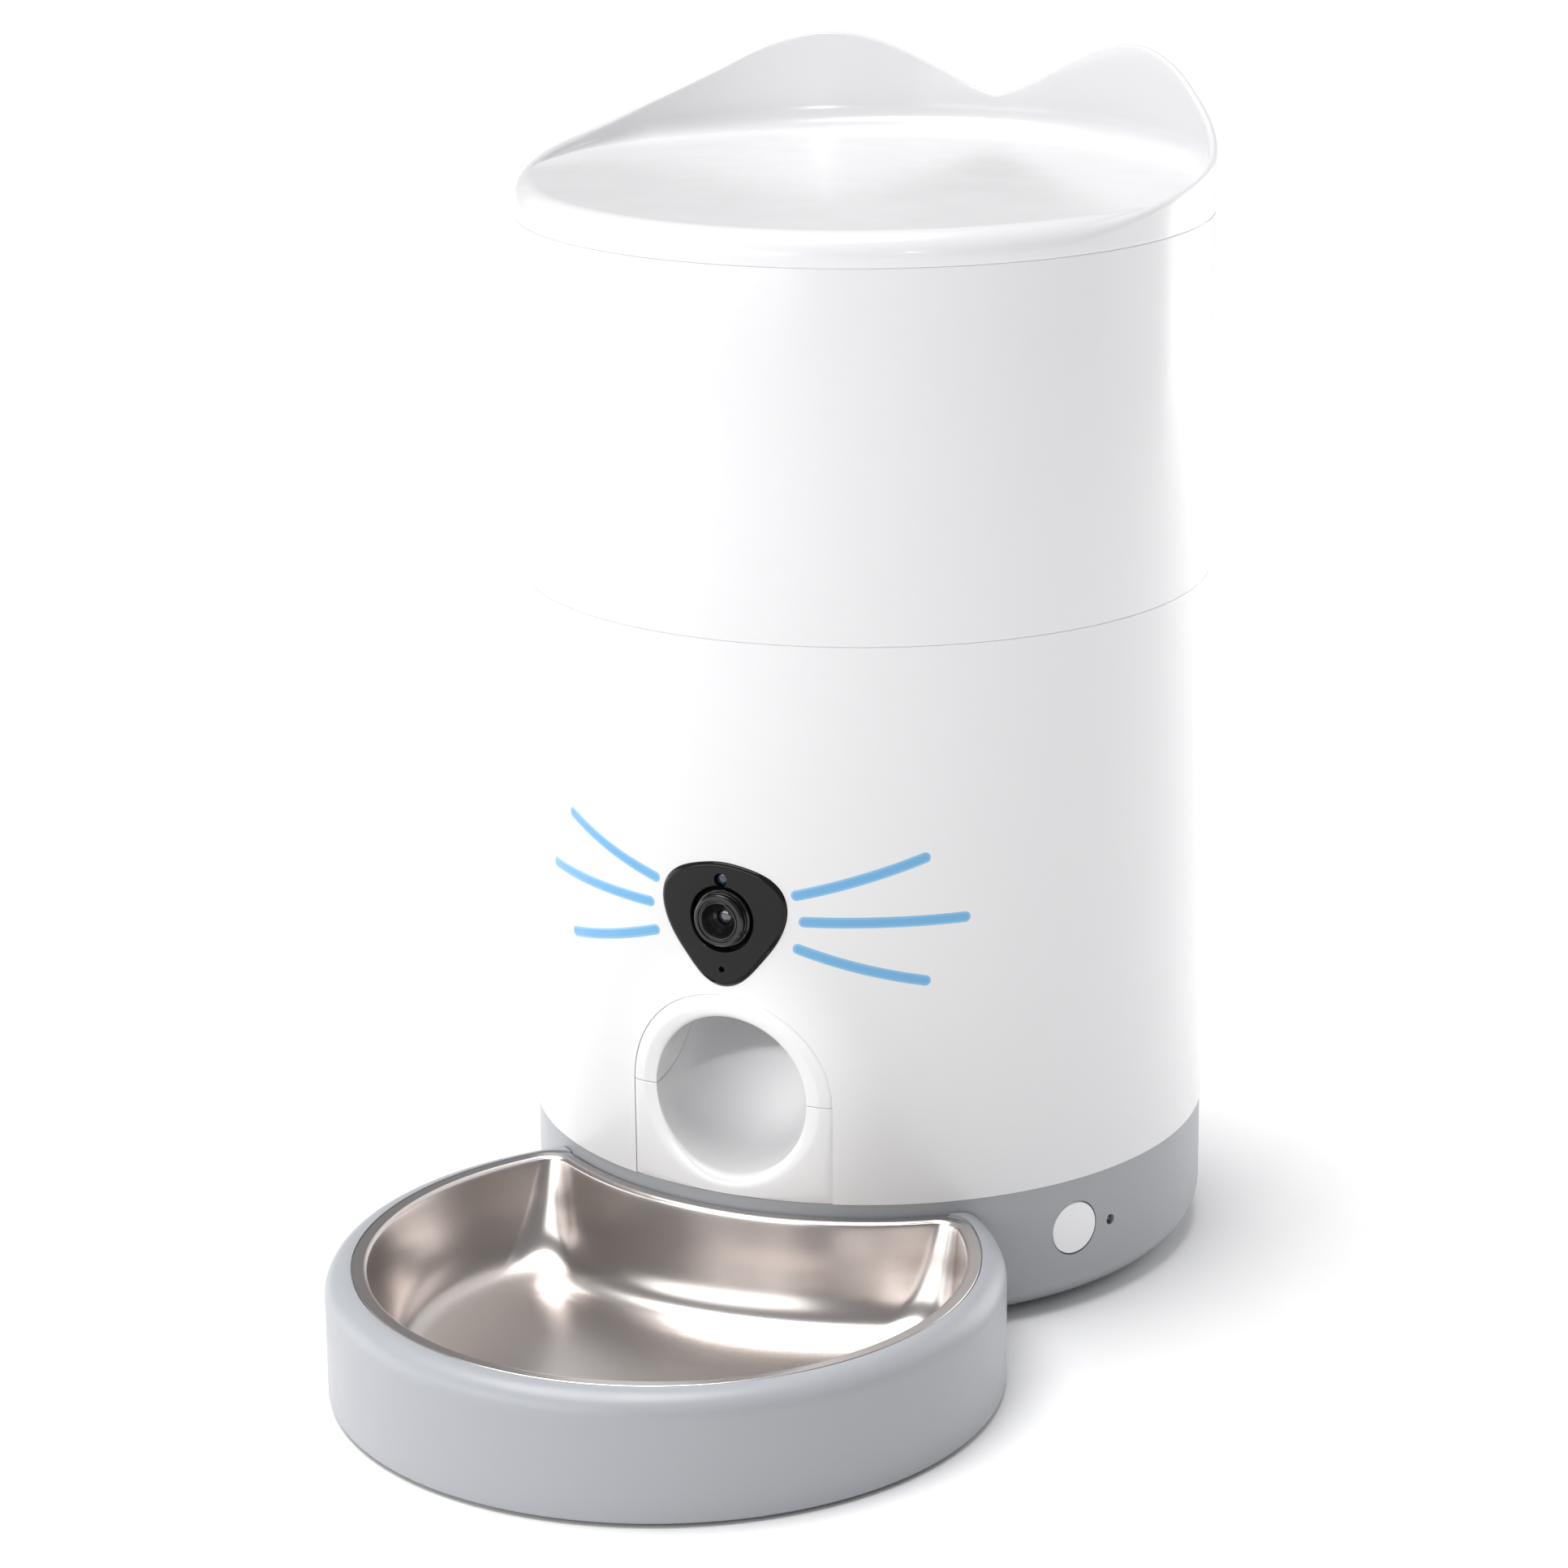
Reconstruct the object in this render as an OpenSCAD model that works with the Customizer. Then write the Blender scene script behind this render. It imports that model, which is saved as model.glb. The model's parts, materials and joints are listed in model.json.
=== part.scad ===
// Tower feeder for dry pet food: a lidded tank over a powered housing, with a bowl docked in front.
// Millimetres, +Z up. The origin is on the floor under the axis of the tower. The front faces -Y,
// and angles round the tower run from the front towards +X.

/* [Tower] */
// Outside diameter of the tank, the housing and the lid
body_d = 205; // [203:1:209]
// Thickness of the moulded walls
wall = 2.5; // [2.2:0.1:2.8]
// Height of the grey base above the floor
base_h = 41; // [40.5:0.5:44]
// Height of the white housing between the base and the tank
housing_h = 166.5; // [165:0.5:172]
// Height of the tank between the housing and the lid
tank_h = 106; // [90:1:130]
// Radius of the round lower edge of the base
base_edge = 12; // [6:0.5:13]
// Gap between the floor and the underside of the base
floor_gap = 1.5; // [1:0.1:2]

/* [Lid] */
// Height of the straight side of the lid
lid_side = 2.5; // [2:0.1:4]
// Radius of the shoulder round the lid
shoulder_r = 7; // [5:0.5:8]
// Rise of the lid from its shoulder to its middle
lid_crown = 1.6; // [0:0.1:3]
// Height of each ear peak above the shoulder
ear_peak = 29.4; // [20:0.5:36]
// Height of the dip between the ears above the shoulder
ear_dip = 10.3; // [6:0.1:16]
// Angle between the back of the lid and each ear peak
ear_turn = 31; // [26:1:36]
// Thickness of the ear wall
ear_wall = 2.3; // [2:0.1:3]
// Radius of the cove at the foot of the ear wall
cove_r = 7; // [4:0.5:8]
// Depth of the lid liner inside the tank
liner_depth = 10; // [8:0.5:14]

/* [Food path] */
// Depth of the floor of the rotor cup below the top of the housing
cup_drop = 33; // [32.5:0.1:33.5]
// Inside radius of the rotor cup
cup_r = 62; // [60:0.5:63]
// Height of the rotor vanes
vane_h = 28; // [24:0.5:28]
// Number of rotor vanes
vane_count = 6; // [5:1:8]
// Thickness of each vane at its tip
vane_tip = 1.6; // [1.2:0.1:2.4]
// Height of the slope from the tank wall down to the rotor cup
funnel_h = 33; // [28:1:40]
// Radius of the hole in the floor of the rotor cup
outlet_r = 16; // [14:0.5:16.5]
// Distance of that hole from the wall of the cup
outlet_in = 5.2; // [4.8:0.1:5.6]
// Inside radius of the chute at its mouth
chute_r = 24; // [22:0.5:25]
// Radius of the bend in the chute
bend_r = 32; // [31:0.5:33]
// Height of the middle of the chute mouth
mouth_z = 70.6; // [69:0.2:72]
// Half width of the arched insert round the chute mouth
insert_w = 31.6; // [31:0.2:33]

/* [Gears] */
// Gear module, which is the pitch diameter divided by the number of teeth
gear_m = 1; // [1:0.02:1.04]
// Teeth on each large gear
big_teeth = 32; // [32:4:32]
// Teeth on each small gear
small_teeth = 12; // [12:4:12]
// Face width of each gear
gear_w = 4.8; // [4:0.1:5]
// Play between meshing teeth along the pitch circle
backlash = 0.16; // [0.12:0.02:0.24]

/* [Camera] */
// Height of the lens axis
lens_z = 125.5; // [125:0.1:126]
// Mean radius of the nose-shaped window
nose_r = 18.4; // [17.5:0.1:19]
// Distance that the window stands proud of the housing
nose_proud = 0.5; // [0.2:0.1:1]
// Distance that the lens barrel stands proud of the housing
lens_proud = 3; // [1:0.5:5]
// Width of each whisker strip
whisker_w = 3.3; // [2.5:0.1:4]
// Depth of each whisker strip
whisker_t = 1; // [0.6:0.1:1.4]

/* [Bowl] */
// Distance from the axis of the tower to the middle of the bowl
bowl_y = 141.5; // [140:0.5:144]
// Radius of the steel bowl at its lip
bowl_r = 88.9; // [87:0.1:89.5]
// Width of the lip of the bowl
lip_w = 4; // [3:0.1:5]
// Radius of the two rear corners of the lip
lip_corner = 10.5; // [9:0.5:12]
// Thickness of the steel sheet
steel_t = 0.8; // [0.6:0.1:1.2]
// Radius of the bowl holder
holder_r = 96.4; // [95.5:0.1:98]
// Height of the bowl holder above the floor
holder_h = 37.4; // [36:0.1:38]
// Radius of the rounding round the top of the holder
holder_edge = 7; // [3:0.5:7]

/* [Controls] */
// Angle of the feed button from the front
button_turn = 60; // [56:1:64]
// Height of the middle of the feed button
button_z = 25.6; // [24:0.2:27]
// Diameter of the feed button
button_d = 16; // [14:0.5:17]
// Travel of the feed button
button_travel = 1; // [0.5:0.1:1.2]
// Angle of the status light from the front
light_turn = 68; // [67:0.5:70]
// Diameter of the status light
light_d = 3; // [2.5:0.1:3.5]

/* [Battery compartment] */
// Diameter of each of the three C cells, which lie side by side
cell_d = 26.2; // [26:0.1:26.6]
// Inside width of the compartment
bay_w = 80; // [79:0.5:82]
// Inside length of the compartment, for a cell and its spring
bay_l = 54; // [53.5:0.5:55]
// Distance from the axis of the tower back to the middle of the compartment
bay_y = 40; // [40:0.5:41]
// Thickness of the battery door
door_t = 2; // [1.6:0.1:2.2]

/* [Fits] */
// Gap round lids, doors and other pieces that lift off
lift_gap = 0.4; // [0.3:0.05:0.6]
// Gap between fixed pieces that are set into each other
set_gap = 0.1; // [0.05:0.01:0.15]
// Radial clearance of a shaft in its hole
run_gap = 0.05; // [0.02:0.01:0.08]

/* [Hidden] */

$fn = 96;
eps = 0.01;
far = 400;

white = "white";
grey = "#8d9197";
ink = "#1b1b1d";
sky = "#64ade0";
clear = "#d9dde2";
board_green = "#2f6b47";

// Tower
body_r = body_d / 2;
inner_r = body_r - wall;
base_r = body_r - 0.3;
mid_z = base_h + housing_h;
lid_z = mid_z + tank_h;
shoulder_z = lid_z + lid_side;
plateau_z = shoulder_z + shoulder_r;
plateau_r = body_r - shoulder_r;
spigot_h = 4;
spigot_r = inner_r - lift_gap;
spigot_t = 2.4;

// Food path
cup_t = 2.5;
cup_floor = mid_z - cup_drop;
cup_wall_r = cup_r + cup_t;
cup_top = cup_floor + vane_h + 2.5;
funnel_z = cup_top + 5;
cup_under = cup_floor - cup_t;
dock_floor = cup_under - 2;
dock_under = dock_floor - cup_t;
dock_r = cup_wall_r + 2.6;
dock_top = mid_z - 6.5;
ledge_z = dock_top - wall;
mouth_y = -(body_r - 4);
tube_t = 2;
tube_top_r = outlet_r + 1.5;
outlet_y = -(cup_r - outlet_r - outlet_in);
// The bend ends where its tangent runs straight up to the outlet
chute_run = [outlet_y - mouth_y, dock_under - mouth_z - bend_r];
tube_len = sqrt(norm(chute_run) ^ 2 - bend_r ^ 2);
bend_turn = atan2(chute_run[1], chute_run[0]) + asin(bend_r / norm(chute_run));
bend_y = mouth_y + bend_r * sin(bend_turn);
bend_z = mouth_z + bend_r * (1 - cos(bend_turn));
hub_r = 13;
hub_gap = 0.3;
hub_floor = cup_floor + hub_gap;
hub_top = hub_floor + vane_h;
sleeve_r = 16;
neck_r = 8;
neck_h = 12;
guard_z = hub_top + 2.6;
guard_t = 2.5;
guard_half = 40;
stir_z = guard_z + guard_t + 1.5;
stir_r = 44;

// Drive
axle_gap = gear_m * (big_teeth + small_teeth) / 2;
gear_top = dock_under - cup_t - 0.5;
level_a = gear_top - gear_w;
level_b = level_a - gear_w - 0.9;
level_c = level_b - gear_w - 0.9;
case_floor = level_c - 0.6;
case_under = case_floor - 2.5;
case_r = gear_m * big_teeth / 2 + 1.3;
case_wall = 2.2;
case_end = 2.65 * axle_gap;
motor_y = 3 * axle_gap;
motor_r = 12;
motor_h = 32;
shaft_r = 4;
pin_r = 1.5;
case_ears = [[-1, 0.45], [1, 0.45], [-1, 2.2], [1, 2.2]];
ear_x = case_r + case_wall + 2;
ear_r = 3.6;
dog_r = 8;
dog_w = 5;
dog_low = dock_floor + 1.5;
dog_top = cup_floor + 12;

// Camera, in the plane seen from the front
window_t = 2;
lens_hole = 9.8;
barrel_r = 7.75;
barrel_seat_r = 9.3;
board_y = body_r - 9.5;
board_t = 1.6;
sensor_z = lens_z + 11.7;
mic_z = lens_z - 15.1;
board_spots = [for (s = [-1, 1]) for (t = [-1, 1]) [16 * s, lens_z + 8 * t]];
nose_waves = [[2, -0.4], [3, 1.75], [4, 0.35], [6, 0.2]];

// Whisker centre lines: angle from the front and height above the lens, at the start, middle and end
whiskers = [
    [[12.5, 9], [22.5, 14], [33, 20.3]],
    [[13.7, 1.2], [26.6, 1.5], [39.5, 1.9]],
    [[12.7, -7], [22.6, -12.2], [33, -16.3]]
];

// Bowl
rear_r = base_r + 1;
lip_z = holder_h;
tray_r = bowl_r - lip_w + 1.2;
tray_rear = rear_r + lip_w - 1.2;
tray_corner = lip_corner - lip_w + 1.2;
tray_wall = 2;
tray_floor = 4.5;
holder_y = bowl_y + 0.8;
holder_low = 1;
hook_x = 24;
hook_w = 12;
hook_h = 5;
hook_z = 14;
hook_l = 8;

// Base
floor_t = 2.5;
rim_h = 4;
rim_t = 2.2;
floor_top = floor_gap + floor_t;
boss_r = 4.5;
boss_ring = inner_r - 16;
boss_turns = [40, 140, 220, 320];
boss_h = 17;
dock_boss_ring = inner_r - 7;
dock_boss_turns = [30, 150, 210, 330];
dock_boss_h = 12;
foot_r = 7;
foot_ring = base_r - 24.2;
foot_turns = [60, 120, 240, 300];
foot_spots = concat([[0, 0]], [for (a = foot_turns) foot_ring * [sin(a), -cos(a)]]);
foot_t = 2.4;
screw_r = 1.6;
head_r = 3;
head_h = 2;
well_top = floor_gap + 8;
bay_wall = 2.5;
bay_rim = floor_gap + door_t + 0.3;
bay_top = bay_rim + cell_d + 3;
door_grow = bay_wall + 0.2;
knuckle_r = door_t / 2 + 0.05;
hinge_y = bay_y + bay_l / 2 + door_grow - 1.2;
hinge_z = floor_gap + door_t / 2;
hinge_pin = 0.6;
hinge_reach = 1.5;
post_x = 26;
post_y = 18;
speaker_y = -(base_r - 46.2);
speaker_r = 14;
socket_z = 22;
socket_back = base_r - 14;
socket_half = 3;
socket_r = 1.6;
switch_y = base_r - 15.3;
switch_in = 11;
switch_board = [30, 32];
light_z = button_z - 1.1;

// A height in a list of [place, height] pairs, along a smooth curve through them
function slope(line, i) =
    i == 0 ? 0
    : i == len(line) - 1 ? (line[i][1] - line[i - 1][1]) / (line[i][0] - line[i - 1][0])
    : (line[i + 1][1] - line[i - 1][1]) / (line[i + 1][0] - line[i - 1][0]);
function smooth(line, x, i = 0) =
    x > line[i + 1][0] && i < len(line) - 2 ? smooth(line, x, i + 1)
    : let (h = line[i + 1][0] - line[i][0], u = (x - line[i][0]) / h)
      (2 * u ^ 3 - 3 * u ^ 2 + 1) * line[i][1] + (u ^ 3 - 2 * u ^ 2 + u) * h * slope(line, i)
      + (3 * u ^ 2 - 2 * u ^ 3) * line[i + 1][1] + (u ^ 3 - u ^ 2) * h * slope(line, i + 1);
function ramp(x, a, b) = let (t = min(1, max(0, (x - a) / (b - a)))) t * t * (3 - 2 * t);
function mix(a, b, t) = a + (b - a) * t;

// Turns a piece to an angle from the front of the tower
module turned(a) {
    rotate([0, 0, a]) children();
}

// Extrudes a shape drawn as seen from the front, from the axis of the tower out to the front
module from_front(near, depth) {
    translate([0, -near, 0]) rotate([90, 0, 0]) linear_extrude(depth) children();
}

// A plain ring about the axis of the tower
module ring(r_out, r_in, z, h) {
    translate([0, 0, z]) rotate_extrude() translate([r_in, 0]) square([r_out - r_in, h]);
}

// The outline of a case that runs from the output gear back to the motor
module case_outline(r) {
    circle(r);
    translate([0, case_end]) circle(r);
    translate([-r, 0]) square([2 * r, case_end]);
}

// Lid
// The share of the ear height that is left at an angle past the peak
ear_fall = [[0, 1], [10, 0.88], [21, 0.62], [31, 0.42], [44, 0.218], [57, 0.115], [70, 0.06], [200, 0.06]];
function ear_height(a) =
    a < ear_turn ? mix(ear_dip, ear_peak, sin(90 * a / ear_turn) ^ 1.45)
    : ear_peak * smooth(ear_fall, a - ear_turn);
lid_sections = 96;
function crown_z(r) = plateau_z + lid_crown * (1 - (r / plateau_r) ^ 2);
function shoulder_point(i) = [plateau_r + shoulder_r * sin(9 * i), shoulder_z + shoulder_r * cos(9 * i)];
function wall_points(top, cove, r_in) = concat(
    [for (i = [0:4]) [r_in - cove * (1 - sin(22.5 * i)), plateau_z + cove * (1 - cos(22.5 * i))]],
    [[r_in, top - 1], [r_in + 0.5, top - 0.2], [body_r - ear_wall / 2, top],
     [body_r - 0.5, top - 0.2], [body_r, top - 1], [body_r, shoulder_z]]);
// One section through the lid at an angle from the back: a cove and a wall behind, a shoulder in front
function lid_section(a) =
    let (share = 1 - ramp(a, 92, 126), height = ear_height(a), top = plateau_z + height,
         cove = min(cove_r, 0.7 * (height - 1)), behind = wall_points(top, cove, body_r - ear_wall))
    concat(
        [for (r = [30, 60, plateau_r - cove_r]) [r, crown_z(r)]],
        [for (i = [0:10]) mix(shoulder_point(i), behind[i], share)],
        [[body_r, lid_z], [inner_r, lid_z], [inner_r, shoulder_z]],
        [for (i = [1:4]) [plateau_r + (shoulder_r - wall) * cos(22.5 * i),
                          shoulder_z + (shoulder_r - wall) * sin(22.5 * i)]],
        [for (r = [60, 30]) [r, crown_z(r) - wall]]);

module lid() {
    count = len(lid_section(0));
    rings = [for (s = [0:lid_sections - 1])
        let (a = 360 * s / lid_sections, section = lid_section(a > 180 ? 360 - a : a))
        for (p = section) [p[0] * sin(a), p[0] * cos(a), p[1]]];
    top_pole = len(rings);
    points = concat(rings, [[0, 0, crown_z(0)], [0, 0, crown_z(0) - wall]]);
    faces = [for (s = [0:lid_sections - 1])
        let (a = s * count, b = ((s + 1) % lid_sections) * count)
        each concat(
            [[top_pole, b, a], [top_pole + 1, a + count - 1, b + count - 1]],
            [for (i = [0:count - 2]) each [[a + i, b + i, a + i + 1], [b + i, b + i + 1, a + i + 1]]])];
    color(white) polyhedron(points, faces);
}

// Ring that drops into the tank, carries the seal and is bonded to the underside of the lid
liner_r = inner_r - 0.8;
liner_t = 2.4;
seal_z = lid_z - liner_depth + 3;
seal_h = 4;
module lid_liner() {
    arc_r = shoulder_r - wall - 2 * set_gap;
    liner_in = liner_r - liner_t;
    color(white) rotate_extrude() difference() {
        polygon(concat(
            [[liner_in, lid_z - liner_depth], [liner_r - 0.5, lid_z - liner_depth],
             [liner_r, lid_z - liner_depth + 0.8]],
            [for (a = [30:15:90]) [plateau_r + arc_r * cos(a), shoulder_z + arc_r * sin(a)]],
            [[plateau_r - 6, shoulder_z + arc_r], [plateau_r - 6, shoulder_z + arc_r - 1.5],
             [liner_in - 2.5, shoulder_z + arc_r - 1.5], [liner_in, shoulder_z]]));
        translate([liner_r - 1, seal_z]) square([2, seal_h]);
    }
}

module lid_seal() {
    lip_r = inner_r - 0.3;
    root_r = liner_r - 1 + set_gap;
    color(clear) rotate_extrude() polygon([
        [root_r, seal_z + set_gap], [liner_r, seal_z + set_gap], [lip_r, seal_z + 0.8],
        [lip_r, seal_z + 1.4], [liner_r, seal_z + 1.9], [lip_r, seal_z + 2.6], [lip_r, seal_z + 3.2],
        [liner_r, seal_z + seal_h - set_gap], [root_r, seal_z + seal_h - set_gap]
    ]);
}

// Desiccant holder under the middle of the lid
pot_r = 30;
pot_t = 2;
pot_top = plateau_z - wall + lid_crown * (1 - (pot_r / plateau_r) ^ 2) - 0.1;
pot_low = lid_z - 4;
lug_z = pot_low + 3;
lug_half = 7;
twist = 35;
cover_t = 2;
cover_z = pot_low - cover_t - 0.3;
module desiccant_cup() {
    color(white) {
        ring(pot_r, pot_r - pot_t, pot_low, pot_top - pot_low);
        for (k = [0:2]) turned(120 * k) intersection() {
            ring(pot_r + 2, pot_r - pot_t, lug_z, 2);
            rotate([0, 0, -lug_half]) rotate_extrude(angle = 2 * lug_half) square([pot_r + 5, far]);
        }
    }
}

module desiccant_pack() {
    color("ivory") translate([0, 0, cover_z + cover_t + 0.2]) rotate_extrude() difference() {
        square([pot_r - pot_t - 1, 9]);
        for (z = [0, 9]) translate([pot_r - pot_t - 1, z]) rotate([0, 0, 45]) square(4, center = true);
    }
}

// Vented cover that twists off the three lugs of the cup
module desiccant_cover() {
    rim_r = pot_r + lift_gap;
    color(white) difference() {
        union() {
            ring(rim_r + 3.2, 0, cover_z, cover_t);
            ring(rim_r + 3.2, rim_r, cover_z, lug_z + 4 - cover_z);
            translate([-rim_r - 3, -1.5, cover_z - 3]) cube([2 * rim_r + 6, 3, 3 + cover_t]);
        }
        for (k = [0:2]) turned(120 * k) {
            rotate([0, 0, -lug_half - twist - 2]) translate([0, 0, lug_z - 0.3])
                rotate_extrude(angle = 2 * lug_half + twist + 4) square([pot_r + 2.5, 2.6]);
            rotate([0, 0, -lug_half - twist - 2]) translate([0, 0, lug_z - 0.3])
                rotate_extrude(angle = 2 * lug_half + 4) square([pot_r + 2.5, 6]);
        }
        for (k = [0:5]) turned(60 * k + 30) for (r = [8, 14, 20])
            translate([0, -r, cover_z - 1]) cylinder(r = 1.6, h = cover_t + 2, $fn = 32);
    }
}

// Tank
module hopper() {
    thick = wall / cos(atan2(funnel_h, inner_r - cup_r));
    rise = funnel_h / (inner_r - cup_r);
    spigot_in = spigot_r - spigot_t;
    color(white) {
        rotate_extrude() polygon([
            [cup_r, cup_top], [cup_r, funnel_z], [inner_r, funnel_z + funnel_h], [inner_r, lid_z],
            [body_r, lid_z], [body_r, mid_z], [spigot_r, mid_z], [spigot_r, mid_z - spigot_h],
            [spigot_in, mid_z - spigot_h], [spigot_in, mid_z + 5],
            [inner_r, mid_z + 5 + inner_r - spigot_in], [inner_r, funnel_z + funnel_h - thick],
            [cup_wall_r, funnel_z - thick + rise * cup_t], [cup_wall_r, cup_top]
        ]);
        for (k = [0:11]) turned(30 * k + 15) rotate([90, 0, 0]) translate([0, 0, -1])
            linear_extrude(2) polygon([
                [cup_r + 8, funnel_z - thick / 2 + rise * 8],
                [inner_r + wall / 2, funnel_z + funnel_h - thick / 2 + rise * wall / 2],
                [inner_r + wall / 2, mid_z + 10], [inner_r - 3, mid_z + 10]
            ]);
    }
}

// Cup under the tank that holds the rotor, with a collar round the neck of the tank
module rotor_cup() {
    collar_r = cup_wall_r + set_gap;
    color(clear) difference() {
        rotate_extrude() polygon([
            [dog_r + 1.5, cup_under], [cup_wall_r, cup_under], [cup_wall_r, cup_top - 9],
            [collar_r + 1.8, cup_top - 7], [collar_r + 1.8, funnel_z - 1.5], [collar_r, funnel_z - 1.5],
            [collar_r, cup_top], [cup_r, cup_top], [cup_r, cup_floor], [dog_r + 1.5, cup_floor]
        ]);
        translate([0, outlet_y, cup_under - 1]) cylinder(r = outlet_r, h = cup_t + 2);
    }
}

// Roof over the outlet, so that food leaves only from the pocket that the rotor brings round
module outlet_guard() {
    color(clear) rotate([0, 0, -90 - guard_half]) translate([0, 0, guard_z])
        rotate_extrude(angle = 2 * guard_half) polygon([
            [sleeve_r + 3, 0], [cup_r - set_gap, 0], [cup_r - set_gap, guard_t + 1],
            [cup_r - 3, guard_t], [sleeve_r + 4, guard_t], [sleeve_r + 3, guard_t - 1]
        ]);
}

// Rotor
module dog_shape(gap) {
    for (k = [0, 90]) rotate([0, 0, k]) square([2 * (dog_r + gap), dog_w + 2 * gap], center = true);
    circle(dog_r - 2 + gap);
}

module rotor_hub() {
    color("darkorange") difference() {
        union() {
            translate([0, 0, hub_floor]) cylinder(r = hub_r, h = vane_h);
            translate([0, 0, hub_top]) cylinder(r1 = sleeve_r, r2 = sleeve_r - 1, h = 1.8);
            translate([0, 0, hub_top + 1]) cylinder(r = neck_r, h = neck_h);
            translate([0, 0, hub_top + 1 + neck_h]) cylinder(r1 = neck_r, r2 = 3, h = 3);
        }
        translate([0, 0, hub_floor - 1]) linear_extrude(dog_top + 0.6 - hub_floor + 1) dog_shape(0.35);
    }
}

// Soft sleeve with flexible vanes that sweep each portion round to the outlet
module rotor_vanes() {
    root_r = sleeve_r - 1;
    tip_r = cup_r - 0.8;
    color("lightgrey") difference() {
        union() {
            translate([0, 0, hub_floor]) cylinder(r = sleeve_r, h = vane_h - set_gap);
            for (k = [0:vane_count - 1]) rotate([0, 0, 360 * (k + 0.5) / vane_count - 90])
                translate([0, 0, hub_floor]) linear_extrude(vane_h - set_gap) polygon([
                    [root_r, -2.4], [root_r + 8, -1.3], [tip_r, -vane_tip / 2],
                    [tip_r, vane_tip / 2], [root_r + 8, 1.3], [root_r, 2.4]
                ]);
        }
        translate([0, 0, hub_floor - 1]) cylinder(r = hub_r + run_gap, h = vane_h + 2);
    }
}

// Stirrer on the neck of the hub, which keeps the food from bridging
module rod(r, h) {
    rotate_extrude($fn = 48) {
        square([r, h - r]);
        translate([0, h - r]) intersection() {
            circle(r);
            square(r);
        }
    }
}

module agitator() {
    arm_r = 2.6;
    finger_r = 3.2;
    color("darkorange") difference() {
        union() {
            translate([0, 0, stir_z]) cylinder(r = neck_r + 4, h = 7);
            for (k = [0:2]) rotate([0, 0, 120 * k + 30]) {
                translate([0, 0, stir_z + finger_r]) rotate([0, 90, 0])
                    cylinder(r = arm_r, h = stir_r, $fn = 48);
                translate([stir_r, 0, stir_z]) rod(finger_r, 26);
            }
        }
        translate([0, 0, stir_z - 1]) cylinder(r = neck_r + run_gap, h = 30);
    }
}

// Housing
// The nose: a circle with a few waves, which make a flat top, full sides and a narrow tip
function nose_radius(a, grow) = nose_r + grow + [for (w = nose_waves) w[1] * cos(w[0] * (a + 90))]
    * [for (w = nose_waves) 1];
module nose_shape(grow) {
    translate([0, lens_z]) polygon([for (a = [0:6:354]) nose_radius(a, grow) * [cos(a), sin(a)]]);
}

// Insert round the chute mouth: straight sides under a round arch
module arch_shape(grow) {
    translate([0, mouth_z]) circle(insert_w + grow);
    translate([-insert_w - grow, base_h]) square([2 * (insert_w + grow), mouth_z - base_h]);
}

// One whisker as seen from the front: a curved band with round ends, drawn as one loop
whisker_steps = 8;
function whisker_spot(line, t) =
    let (bow = 2 * line[1] - (line[0] + line[2]) / 2,
         p = (1 - t) ^ 2 * line[0] + 2 * t * (1 - t) * bow + t ^ 2 * line[2])
    [body_r * sin(p[0]), lens_z + p[1]];
function whisker_lean(line, t) =
    let (d = whisker_spot(line, t + 0.01) - whisker_spot(line, t - 0.01)) atan2(d[1], d[0]);
module whisker_shape(line, width) {
    side = function (t, a) let (turn = whisker_lean(line, t) + a)
        whisker_spot(line, t) + width / 2 * [cos(turn), sin(turn)];
    polygon(concat(
        [for (i = [0:whisker_steps]) side(i / whisker_steps, -90)],
        [for (a = [-67.5:22.5:67.5]) side(1, a)],
        [for (i = [whisker_steps:-1:0]) side(i / whisker_steps, 90)],
        [for (a = [112.5:22.5:247.5]) side(0, a)]));
}

module whisker_set(grow, depth) {
    difference() {
        for (line = whiskers) for (m = [0, 1]) mirror([m, 0, 0])
            from_front(body_r / 2, body_r) whisker_shape(line, whisker_w + 2 * grow);
        cylinder(r = body_r - depth, h = far);
    }
}

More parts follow.
